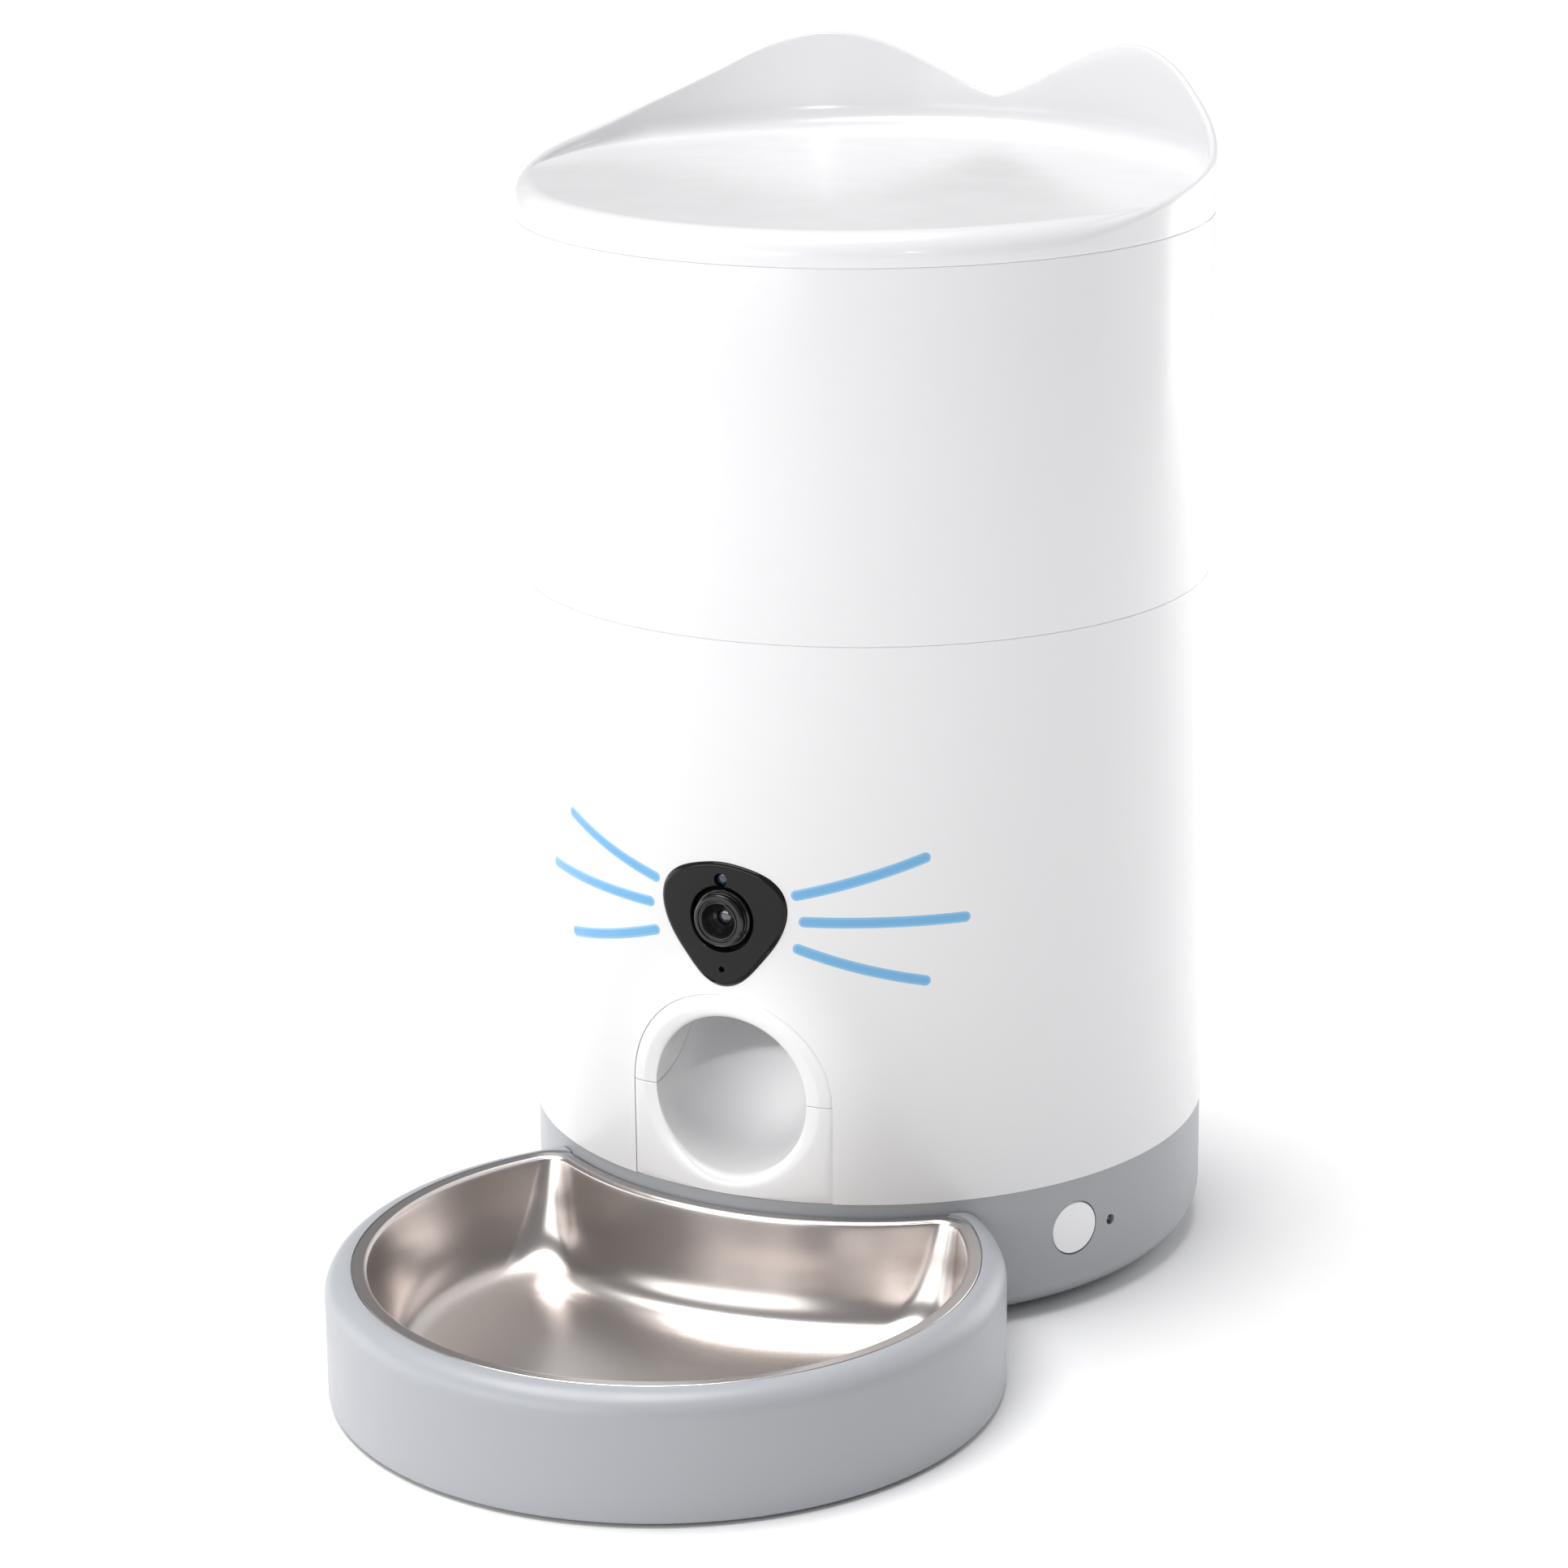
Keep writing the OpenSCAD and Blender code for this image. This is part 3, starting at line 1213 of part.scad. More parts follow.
// Pressed steel bowl, lofted through its crescent sections
module steel_bowl() {
    last = len(bowl_line) - 1;
    loops = concat([for (i = [last:-1:0]) bowl_ring(i, false)], [for (i = [0:last]) bowl_ring(i, true)]);
    n = len(loops[0]);
    m = len(loops);
    points = [for (loop = loops) each loop];
    faces = concat(
        [for (j = [0:m - 2]) for (i = [0:n - 1]) let (k = (i + 1) % n)
            each [[j * n + i, (j + 1) * n + i, j * n + k], [j * n + k, (j + 1) * n + i, (j + 1) * n + k]]],
        [[for (i = [0:n - 1]) i]],
        [[for (i = [n - 1:-1:0]) (m - 1) * n + i]]);
    color("silver") polyhedron(points, faces);
}

module holder_block(r, low, high, edge) {
    translate([0, -holder_y, 0]) rotate_extrude($fn = 180) {
        translate([0, low]) square([r, high - edge - low]);
        translate([0, low]) square([r - edge, high - low]);
        intersection() {
            translate([r - edge, high - edge]) circle(edge);
            translate([r - edge, high - edge]) square(edge);
        }
    }
}

module bowl_holder() {
    rest_z = lip_z - steel_t;
    skin_rear = base_r + lift_gap;
    color(grey) {
        difference() {
            holder_block(holder_r, holder_low, holder_h, holder_edge);
            translate([0, 0, -1]) cylinder(r = skin_rear, h = far, $fn = 180);
            translate([0, 0, rest_z]) linear_extrude(far)
                crescent(bowl_r + lift_gap, skin_rear - 2, lip_corner);
            translate([0, 0, tray_floor]) linear_extrude(far) crescent(tray_r, tray_rear, tray_corner);
            difference() {
                holder_block(holder_r - wall, holder_low - 1, holder_h - 3, holder_edge - wall);
                translate([0, 0, -1]) cylinder(r = skin_rear + wall, h = far, $fn = 180);
                translate([0, 0, tray_floor - tray_wall]) linear_extrude(far)
                    crescent(tray_r + tray_wall, tray_rear - tray_wall, tray_corner + tray_wall);
            }
        }
        for (s = [-1, 1]) translate([s * hook_x - hook_w / 2, -skin_rear - 1, hook_z])
            cube([hook_w, hook_l + 1, hook_h]);
    }
}

module holder_feet() {
    feet_ring = holder_r - 36.4;
    color(ink) for (a = [-120, -60, 0, 60, 120]) translate([0, -holder_y, 0]) rotate([0, 0, a])
        translate([0, -feet_ring, 0]) cylinder(r = foot_r, h = tray_floor - tray_wall, $fn = 64);
}

lid();
lid_liner();
lid_seal();
desiccant_cup();
desiccant_pack();
desiccant_cover();
hopper();
rotor_cup();
outlet_guard();
rotor_hub();
rotor_vanes();
agitator();
lower_housing();
hopper_dock();
outlet_gasket();
drop_tube();
chute_hood();
chute_panel();
gearbox_case();
gearbox_cover();
gearbox_screws();
gear_pins();
output_bushing();
output_gear();
drive_dog();
second_gear();
first_gear();
motor_pinion();
motor_shaft();
motor();
camera_window();
lens_barrel();
lens_glass();
camera_board();
light_sensor();
microphone();
whisker_strips();
base_shell();
base_feet();
base_screws();
dock_screws();
main_board();
battery_box();
battery_contacts();
battery_door();
speaker();
power_socket();
feed_button();
button_switch();
status_light();
bowl_holder();
holder_feet();
steel_bowl();
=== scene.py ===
"""Looks of the pet feeder: shells, window, whiskers, chute, bowl, finishes, light and camera."""

import json
from math import acos, atan, atan2, copysign, cos, hypot, pi, radians, sin, sqrt, tan

import bmesh
import bpy
import numpy as np
from mathutils import Matrix, Vector


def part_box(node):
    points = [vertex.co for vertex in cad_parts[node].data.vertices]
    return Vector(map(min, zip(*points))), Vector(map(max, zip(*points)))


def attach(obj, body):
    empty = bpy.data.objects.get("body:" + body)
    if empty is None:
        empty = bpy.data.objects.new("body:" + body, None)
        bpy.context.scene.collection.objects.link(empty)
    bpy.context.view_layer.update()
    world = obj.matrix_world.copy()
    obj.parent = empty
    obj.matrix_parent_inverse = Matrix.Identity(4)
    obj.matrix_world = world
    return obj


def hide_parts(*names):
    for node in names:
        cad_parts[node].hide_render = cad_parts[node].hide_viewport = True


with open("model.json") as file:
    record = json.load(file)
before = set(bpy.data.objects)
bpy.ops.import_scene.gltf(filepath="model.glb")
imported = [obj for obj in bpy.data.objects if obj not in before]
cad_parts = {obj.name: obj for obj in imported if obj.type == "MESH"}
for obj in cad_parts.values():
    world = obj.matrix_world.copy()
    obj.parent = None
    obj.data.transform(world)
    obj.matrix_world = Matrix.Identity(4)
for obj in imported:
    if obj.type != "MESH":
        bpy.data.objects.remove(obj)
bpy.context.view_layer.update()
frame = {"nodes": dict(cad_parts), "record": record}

# Lengths are in millimetres and become metres when a mesh is made. Turns are in degrees
MM = 0.001
FULL = 2 * pi
QUARTER = pi / 2


def corners(node):
    """Lowest and highest corner of a CAD node, in millimetres."""
    return [np.array(corner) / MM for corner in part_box(node)]


# Sizes read from the frame
(_, _, BASE_H), (BODY_R, _, MID_Z) = corners("lower_housing")
(_, _, LID_Z), (_, _, TOP_Z) = corners("lid")
(_, _, TANK_Z), _ = corners("hopper")
(_, _, FLOOR_GAP), (BASE_R, _, _) = corners("base_shell")
(holder_left, _, HOLDER_LOW), (holder_right, _, HOLDER_H) = corners("bowl_holder")
HOLDER_R = (holder_right - holder_left) / 2
(_, barrel_y, barrel_low), (_, _, barrel_top) = corners("lens_barrel")
LENS_Z = (barrel_low + barrel_top) / 2
BARREL_FRONT = -barrel_y

# Shells
WALL = 2.5
INNER_R = BODY_R - WALL
SEAM_R = 0.3
OVERLAP = 1
SHELL_STEPS = 480
# Turned pieces end this close to their axis, and their domes this far from the tip in radians
AXIS_R = 0.01
DOME_TIP, LIGHT_TIP = 0.004, 0.005

# Lid: a crowned plateau, a round shoulder in front, and behind it a wall with two ear peaks
LID_SIDE = 2.5
SHOULDER_R = 7
SHOULDER_Z = LID_Z + LID_SIDE
PLATEAU_Z = SHOULDER_Z + SHOULDER_R
PLATEAU_R = BODY_R - SHOULDER_R
CROWN = 1.6
CROWN_STEPS = (0.001, 0.1, 0.2, 0.3, 0.4, 0.5, 0.6, 0.7, 0.8, 0.88, 0.94, 0.98)
CROWN_BLEND = 6
EAR_PEAK = TOP_Z - PLATEAU_Z
EAR_DIP = 10.3
EAR_TURN = 31
EAR_BOW = 1.45
EAR_WALL = 2.3
EAR_FADE = (92, 126)
COVE_R = 7
COVE_SHARE = 0.7
# Share of the peak's height that is left at an angle past the peak
EAR_FALL = [(0, 1), (10, 0.88), (21, 0.62), (31, 0.42), (44, 0.218), (57, 0.115), (70, 0.06), (200, 0.06)]
# Where the cove, the inside of the wall and its rim end, as shares of the way from plateau to outer side
COVE_END, INSIDE_END, RIM_END = 0.4, 0.5, 0.9
UNDER_STEPS = (80, 60, 40, 20, 0.1)

# Tank
CUP_R = 62
NECK_H = 5
FUNNEL_RISE = 33
SPIGOT_GAP, SPIGOT_H, SPIGOT_T = 0.4, 4, 2.4
SPIGOT_ROOT, WALL_ROOT = 5, 7.8
RIB_TURNS = range(105, 465, 30)
RIB_HALF, RIB_IN, RIB_SUNK, RIB_LOW, RIB_FOOT = 1, 8, 1.2, 10, 3

# Housing
LEDGE_DOWN, LEDGE_W, LEDGE_T, LEDGE_FOOT = 9, 4, 2, 6
ARCH_GAP, NOSE_GAP = 0.12, 0.15

# Chute
RIM_R = 4
MOUTH_Z = 70.6
MOUTH_Y = RIM_R - BODY_R
CHUTE_R = 24
TUBE_R = 26
BEND_R = 32
BEND_TURN = 70
INSERT_W = 31.6
INSERT_T = 2.2
INSERT_GAP = 0.15
LIP_T = 1
COLLAR_R = CHUTE_R + RIM_R
COLLAR_GAP, COLLAR_CUT = 0.3, 0.2
SPLIT_GAP = 0.08
SPLIT_EDGE = 0.12
HALF_STEPS = 121

# Camera window: a circle with waves, as pairs of waves per turn and their height
NOSE_R = 18.4
NOSE_WAVES = [(2, -0.4), (3, 1.75), (4, 0.35), (6, 0.2)]
NOSE_PROUD = 0.9
NOSE_EDGE = 1.5
NOSE_SUNK = 0.05
WINDOW_DEEP = 1.5
WINDOW_STEPS = 240
LENS_HOLE, HOLE_EDGE = 9.8, 0.4
SENSOR_Z, SENSOR_R, SENSOR_HOLE = LENS_Z + 11.7, 1.9, 2.05
SENSOR_DOME, SENSOR_T, SENSOR_DOWN = 0.7, 6, 0.9
MIC_Z, MIC_HOLE = LENS_Z - 15.1, 0.9
GLASS_R, GLASS_DOME, GLASS_T, GLASS_DOWN = 2.25, 0.9, 1.2, 4.4

# Whisker centre lines: angle from the front and height above the lens at start, middle and end
WHISKERS = [
    [(12.5, 9), (22.5, 14), (33, 20.3)],
    [(13.7, 1.2), (26.6, 1.5), (39.5, 1.9)],
    [(12.7, -7), (22.6, -12.2), (33, -16.3)],
]
WHISKER_HALF = 3.3 / 2
WHISKER_SWELL, WHISKER_SUNK, WHISKER_DEEP = 0.12, 0.02, 0.6
WHISKER_STEPS, WHISKER_ACROSS, WHISKER_END_STEPS, WHISKER_TIP = 80, 14, 9, 0.06
WHISKER_BORDER, WHISKER_LOOK = 1.8, 0.01

# Bowl and its holder
BOWL_Y = 141.5
BOWL_R = 88.9
BOWL_GAP = 0.5
BOWL_STEPS = 65
LIP_W = 4
LIP_CORNER = 10.5
LIP_STEPS = 7
LIP_INSETS = (0.9, 1.8, 2.6)
STEEL = 0.8
REAR_R = BASE_R + 1
CRESCENT_STEPS = (72, 28, 36)
HOLDER_Y = BOWL_Y + 0.8
HOLDER_EDGE = 7
HOLDER_FOOT_EDGE = 1.2
HOLDER_TOP = 3
DOCK_R = BASE_R + 0.4
SEAT_GAP, SEAT_REAR = 0.35, 2
TRAY_IN = LIP_W - 1.2
TRAY_FLOOR = 4.5
TRAY_WALL = 2
# The bowl's wall from lip to floor: inset from the lip, share of the depth that is left, corner radius
BOWL_LINE = np.array([
    (LIP_W - 0.8, 1, LIP_CORNER - LIP_W + 0.8), (LIP_W - 0.1, 0.985, LIP_CORNER - LIP_W + 0.1),
    (LIP_W + 0.4, 0.95, LIP_CORNER - LIP_W), (LIP_W + 1.5, 0.75, 8), (LIP_W + 2.8, 0.5, 10),
    (LIP_W + 4.6, 0.27, 12.5), (LIP_W + 7.6, 0.11, 14.5), (LIP_W + 12, 0.03, 16), (LIP_W + 18, 0, 17),
])

# Base
BASE_EDGE = 12
TONGUE_H, TONGUE_T, TONGUE_GAP, BASE_SHELF = 4, 2.2, 0.1, 6.5
FOOT_R, FOOT_RING, FOOT_TURNS, FOOT_TOP = 7.1, 78, (60, 120, 240, 300), 2.4
WELL_R, WELL_RING, WELL_TURNS, WELL_TOP = 3.3, 84, (40, 140, 220, 320), 9.5
BOSS_R, BOSS_SUNK = 5.5, 0.2
BAY_X, BAY_FRONT, BAY_BACK = 43.1, 9.9, 70.1
GRILLE_Y, GRILLE_HALF, GRILLE_STEP, GRILLE_W, GRILLE_TAPER = -56, 9, 4, 1.8, 1.6
SOCKET_R, SOCKET_HALF, SOCKET_Z, SOCKET_TURN = 2, 3, 22, 180

# Hooks that hold the bowl holder on the base
HOOK_X, HOOK_W, HOOK_H, HOOK_Z, HOOK_REACH, HOOK_GAP, HOOK_EDGE = 24, 12, 5, 14, 8, 0.4, 0.5

# Controls
BUTTON_TURN, BUTTON_Z, BUTTON_R, BUTTON_GAP, BUTTON_T = 60, 25.6, 8, 0.3, 4
BUTTON_SUNK, BUTTON_CROWN = 0.1, 0.15
LIGHT_TURN, LIGHT_Z, LIGHT_R, LIGHT_GAP, LIGHT_T = 68, 24.5, 1.5, 0.15, 12
LIGHT_DOME, LIGHT_DOWN = 1.1, 1.8

# Reach of the cutters: upright ones, and those through the walls from inside to outside
BELOW, ABOVE = -5, 80
SHELL_CUT, BASE_CUT, REAR_CUT, WINDOW_CUT = (50, 150), (60, 130), (80, 130), (90, 120)


def lerp(a, b, t):
    """Value between two others."""
    return a + (b - a) * t


def ramp(x, a, b):
    """Smooth share, 0 at one value and 1 at another."""
    t = min(1, max(0, (x - a) / (b - a)))
    return t * t * (3 - 2 * t)


def polar(radius, angle):
    """Place in a plane at a distance and an angle in radians."""
    return radius * np.array([cos(angle), sin(angle)])


def angles_round(steps):
    """Even angles round a circle, in radians."""
    return [FULL * k / steps for k in range(steps)]


def add_object(name, data):
    """Puts a mesh, lamp or camera into the scene."""
    made = bpy.data.objects.new(name, data)
    bpy.context.scene.collection.objects.link(made)
    return made


# Mesh helpers
def new_piece(name, points, faces, sharp=35, depths=()):
    """A smooth-shaded object from points in millimetres, with its steep edges sharp."""
    mesh = bpy.data.meshes.new(name)
    mesh.from_pydata([Vector(p) * MM for p in points], [], faces)
    if depths:
        mesh.attributes.new("depth", "FLOAT", "POINT").data.foreach_set("value", depths)
    mesh.update()
    piece = add_object(name, mesh)
    tidy(piece, sharp)
    return piece


def tidy(piece, sharp=35):
    """Joins doubled points, drops faces without area, points faces outwards and shades them smooth."""
    bm = bmesh.new()
    bm.from_mesh(piece.data)
    bmesh.ops.remove_doubles(bm, verts=bm.verts, dist=1e-7)
    bmesh.ops.dissolve_degenerate(bm, edges=bm.edges, dist=1e-8)
    bmesh.ops.recalc_face_normals(bm, faces=bm.faces)
    bm.to_mesh(piece.data)
    bm.free()
    piece.data.shade_smooth()
    piece.data.set_sharp_from_angle(angle=radians(sharp))


def grid_faces(rows, columns, close_rows=False, close_columns=False):
    """Faces of a grid of points that is numbered row by row."""
    faces = []
    for i in range(rows if close_rows else rows - 1):
        row, above = i * columns, (i + 1) % rows * columns
        for j in range(columns if close_columns else columns - 1):
            ahead = (j + 1) % columns
            faces.append((row + j, row + ahead, above + ahead, above + j))
    return faces


def rounded(outline, steps=6):
    """Points of a closed outline of (x, y, radius) corners, with an arc where the radius isn't 0."""
    points = []
    count = len(outline)
    for i, (x, y, radius) in enumerate(outline):
        here = np.array([x, y], float)
        if radius == 0:
            points.append(tuple(here))
            continue
        back = np.array(outline[i - 1][:2], float) - here
        ahead = np.array(outline[(i + 1) % count][:2], float) - here
        back, ahead = back / np.linalg.norm(back), ahead / np.linalg.norm(ahead)
        half = acos(max(-1, min(1, back @ ahead))) / 2
        start, end = here + back * radius / tan(half), here + ahead * radius / tan(half)
        centre = here + (back + ahead) / np.linalg.norm(back + ahead) * radius / sin(half)
        angle = atan2(*(start - centre)[::-1])
        sweep = atan2(*(end - centre)[::-1]) - angle
        sweep = (sweep + pi) % FULL - pi
        points += [tuple(centre + polar(radius, angle + sweep * k / steps)) for k in range(steps + 1)]
    return points


def lathe(name, outline, steps=360, sharp=35):
    """A piece turned about the axis of the tower from a closed outline of (radius, height) points."""
    points = []
    for a in angles_round(steps):
        points += [(r * sin(a), -r * cos(a), z) for r, z in outline]
    return new_piece(name, points, grid_faces(steps, len(outline), True, True), sharp)


def turned(name, outline, height, turn=0, steps=96, sharp=40):
    """A piece turned about an axis that points outwards at a height and an angle from the front.

    The outline holds distances from that axis and from the middle of the tower."""
    points = []
    for a in angles_round(steps):
        points += [(r * cos(a), -d, height + r * sin(a)) for r, d in outline]
    piece = new_piece(name, points, grid_faces(steps, len(outline), True, True), sharp)
    piece.data.transform(Matrix.Rotation(radians(turn), 4, "Z"))
    return piece


def prism(name, outline, low, high, place=Matrix.Identity(4)):
    """A closed prism over an outline, from one height to another, turned to its place."""
    count = len(outline)
    points = [(x, y, low) for x, y in outline] + [(x, y, high) for x, y in outline]
    faces = [tuple(range(count))[::-1], tuple(range(count, 2 * count))]
    faces += [(i, (i + 1) % count, count + (i + 1) % count, count + i) for i in range(count)]
    piece = new_piece(name, points, faces)
    piece.data.transform(place)
    return piece


def facing(turn=0):
    """Placement that stands an outline up to face outwards at an angle from the front."""
    return Matrix.Rotation(radians(turn), 4, "Z") @ Matrix.Rotation(QUARTER, 4, "X")


def tube(name, x, y, inner, outer, low, high, steps=48):
    """An upright tube at a place in plan."""
    section = ((inner, low), (outer, low), (outer, high), (inner, high))
    points = []
    for a in angles_round(steps):
        points += [(x + r * cos(a), y + r * sin(a), z) for r, z in section]
    return new_piece(name, points, grid_faces(steps, len(section), True, True))


def box_outline(x, y, half_x, half_y):
    """Rectangle about a middle."""
    return [(x + half_x * across, y + half_y * up) for across, up in ((-1, -1), (1, -1), (1, 1), (-1, 1))]


def circle(radius, steps=96, x=0, y=0):
    """Circle about a middle."""
    return [(x, y) + polar(radius, a) for a in angles_round(steps)]


def ring_spots(radius, turns):
    """Places on a ring in plan, at angles from the front."""
    return [(radius * sin(radians(a)), -radius * cos(radians(a))) for a in turns]


def applied(piece):
    """Replaces the mesh of a piece by what its modifiers make of it."""
    graph = bpy.context.evaluated_depsgraph_get()
    mesh = bpy.data.meshes.new_from_object(piece.evaluated_get(graph))
    piece.modifiers.clear()
    piece.data = mesh


def joined(name, pieces):
    """One object that holds the meshes of several."""
    with bpy.context.temp_override(active_object=pieces[0], selected_editable_objects=pieces):
        bpy.ops.object.join()
    pieces[0].name = name
    return pieces[0]


def cut(piece, cutters, sharp=35):
    """Takes the cutters, which don't touch each other, out of a piece."""
    cutter = joined("cutter", cutters) if len(cutters) > 1 else cutters[0]
    change = piece.modifiers.new("cut", "BOOLEAN")
    change.operation = "DIFFERENCE"
    change.solver = "EXACT"
    change.object = cutter
    applied(piece)
    bpy.data.objects.remove(cutter)
    tidy(piece, sharp)


def keep_round(piece, radius, reach=0.05, tilt=0.99):
    """Gives the outside of a cut shell the normals of its cylinder, so that reflections stay straight."""
    mesh = piece.data
    normals = [Vector(n.vector) for n in mesh.corner_normals]
    for face in mesh.polygons:
        middle = Vector((face.center.x, face.center.y, 0))
        if abs(middle.length / MM - radius) > reach or face.normal.dot(middle.normalized()) < tilt:
            continue
        for k in face.loop_indices:
            point = mesh.vertices[mesh.loops[k].vertex_index].co
            normals[k] = Vector((point.x, point.y, 0)).normalized()
    mesh.normals_split_custom_set(normals)


# Finishes. Scales of noises are in lumps to the metre
NOISE_LOW, NOISE_HIGH = 0.3, 0.7
MIX_FIRST, MIX_SECOND, MIX_RESULT = 6, 7, 2
DRIFT_SCALE, GLOSS_SCALE, GLOSS_VARY = 18, 60, 0.12
METAL_DRIFT_SCALE, METAL_DARK = 30, 0.96
# Reach from the lens axis of the painted reflection tint on the lens, from green at its middle to violet at
# its rim
REFLECTION_TINT_R = 2.3
PAINT_WANDER = 0.06
CAD_SHARP = 30


def shader(name, **values):
    """A material, its nodes and its surface, with some numbers of the surface set."""
    material = bpy.data.materials.new(name)
    material.use_nodes = True
    tree = material.node_tree
    surface = tree.nodes["Principled BSDF"]
    for socket, value in values.items():
        surface.inputs[socket.replace("_", " ")].default_value = value
    return material, tree, surface


def add_node(tree, kind, **values):
    """A node with some of its sockets or settings set."""
    node = tree.nodes.new(kind)
    for name, value in values.items():
        socket = name.replace("_", " ")
        if socket in node.inputs.keys():
            node.inputs[socket].default_value = value
        else:
            setattr(node, name, value)
    return node


def noise(tree, scale, detail=2, roughness=0.5, stretch=None):
    """Noise in the object's own space, stretched if asked."""
    place = add_node(tree, "ShaderNodeTexCoord").outputs["Object"]
    texture = add_node(tree, "ShaderNodeTexNoise", Scale=scale, Detail=detail, Roughness=roughness)
    if stretch:
        mapping = add_node(tree, "ShaderNodeMapping", Scale=stretch)
        tree.links.new(place, mapping.inputs["Vector"])
        place = mapping.outputs["Vector"]
    tree.links.new(place, texture.inputs["Vector"])
    return texture.outputs["Fac"]


def spread(tree, value, low, high, socket):
    """Maps a noise to a range of numbers and feeds it to a socket."""
    node = add_node(tree, "ShaderNodeMapRange",
                    From_Min=NOISE_LOW, From_Max=NOISE_HIGH, To_Min=low, To_Max=high)
    tree.links.new(value, node.inputs["Value"])
    tree.links.new(node.outputs["Result"], socket)


def tint(tree, value, first, second, socket):
    """Mixes two colours by a share and feeds them to a socket."""
    node = add_node(tree, "ShaderNodeMix", data_type="RGBA")
    node.inputs[MIX_FIRST].default_value = (*first, 1)
    node.inputs[MIX_SECOND].default_value = (*second, 1)
    tree.links.new(value, node.inputs["Factor"])
    tree.links.new(node.outputs[MIX_RESULT], socket)


def relief(tree, surface, height, distance):
    """Bumps a surface by a noise, as deep as its distance in millimetres."""
    bump = add_node(tree, "ShaderNodeBump", Strength=1, Distance=distance * MM)
    tree.links.new(height, bump.inputs["Height"])
    tree.links.new(bump.outputs["Normal"], surface.inputs["Normal"])


def plastic(name, colour, rough, vary, grain, depth, **values):
    """Moulded plastic: a faint drift of tone, uneven gloss and a fine grain."""
    material, tree, surface = shader(name, **values)
    light = [min(1, c * (1 + vary)) for c in colour]
    dark = [c * (1 - vary) for c in colour]
    tint(tree, noise(tree, DRIFT_SCALE), dark, light, surface.inputs["Base Color"])
    low, high = rough * (1 - GLOSS_VARY), rough * (1 + GLOSS_VARY)
    spread(tree, noise(tree, GLOSS_SCALE, 3), low, high, surface.inputs["Roughness"])
    relief(tree, surface, noise(tree, grain), depth)
    return material


def metal(name, colour, rough, stretch, depth=0.001, scale=900, vary=0.3):
    """Metal with fine lines along one direction."""
    material, tree, surface = shader(name, Metallic=1)
    lines = noise(tree, scale, 3, 0.6, stretch)
    dark = [c * METAL_DARK for c in colour]
    tint(tree, noise(tree, METAL_DRIFT_SCALE), dark, colour, surface.inputs["Base Color"])
    spread(tree, lines, rough * (1 - vary), rough * (1 + vary), surface.inputs["Roughness"])
    relief(tree, surface, lines, depth)
    return material


def lens_painted_reflection():
    """Dark coated glass, with the coating's reflections painted into its colour: green at its middle and
    violet towards its rim.
    """
    green, violet = (0.004, 0.014, 0.012), (0.022, 0.006, 0.032)
    material, tree, surface = shader("lens_painted_reflection", Roughness=0.03, IOR=1.8,
                                     Coat_Weight=1, Coat_Roughness=0.02)
    # Painted reflection: the coating's green and violet go into the base colour by distance from the lens
    # axis
    place = add_node(tree, "ShaderNodeTexCoord")
    about_axis = add_node(tree, "ShaderNodeMapping", Location=(0, 0, -LENS_Z * MM), Scale=(1, 0, 1))
    reach = add_node(tree, "ShaderNodeVectorMath", operation="LENGTH")
    share = add_node(tree, "ShaderNodeMapRange", From_Min=0, From_Max=REFLECTION_TINT_R * MM)
    tree.links.new(place.outputs["Object"], about_axis.inputs["Vector"])
    tree.links.new(about_axis.outputs["Vector"], reach.inputs[0])
    tree.links.new(reach.outputs["Value"], share.inputs["Value"])
    tint(tree, share.outputs["Result"], green, violet, surface.inputs["Base Color"])
    relief(tree, surface, noise(tree, 300), 0.0003)
    return material


def whisker_paint():
    """Sky blue, deeper along the middle of each strip and paler at its border."""
    pale, deep = (0.3, 0.56, 0.76), (0.125, 0.39, 0.68)
    material, tree, surface = shader("whisker_blue", Coat_Weight=0.4, Coat_Roughness=0.08)
    depth = add_node(tree, "ShaderNodeAttribute", attribute_name="depth")
    wander = add_node(tree, "ShaderNodeMath", operation="MULTIPLY_ADD")
    wander.inputs[1].default_value = PAINT_WANDER
    tree.links.new(noise(tree, 700, 3), wander.inputs[0])
    tree.links.new(depth.outputs["Fac"], wander.inputs[2])
    tint(tree, wander.outputs[0], pale, deep, surface.inputs["Base Color"])
    spread(tree, noise(tree, 400), 0.2, 0.26, surface.inputs["Roughness"])
    relief(tree, surface, noise(tree, 1500), 0.0005)
    return material


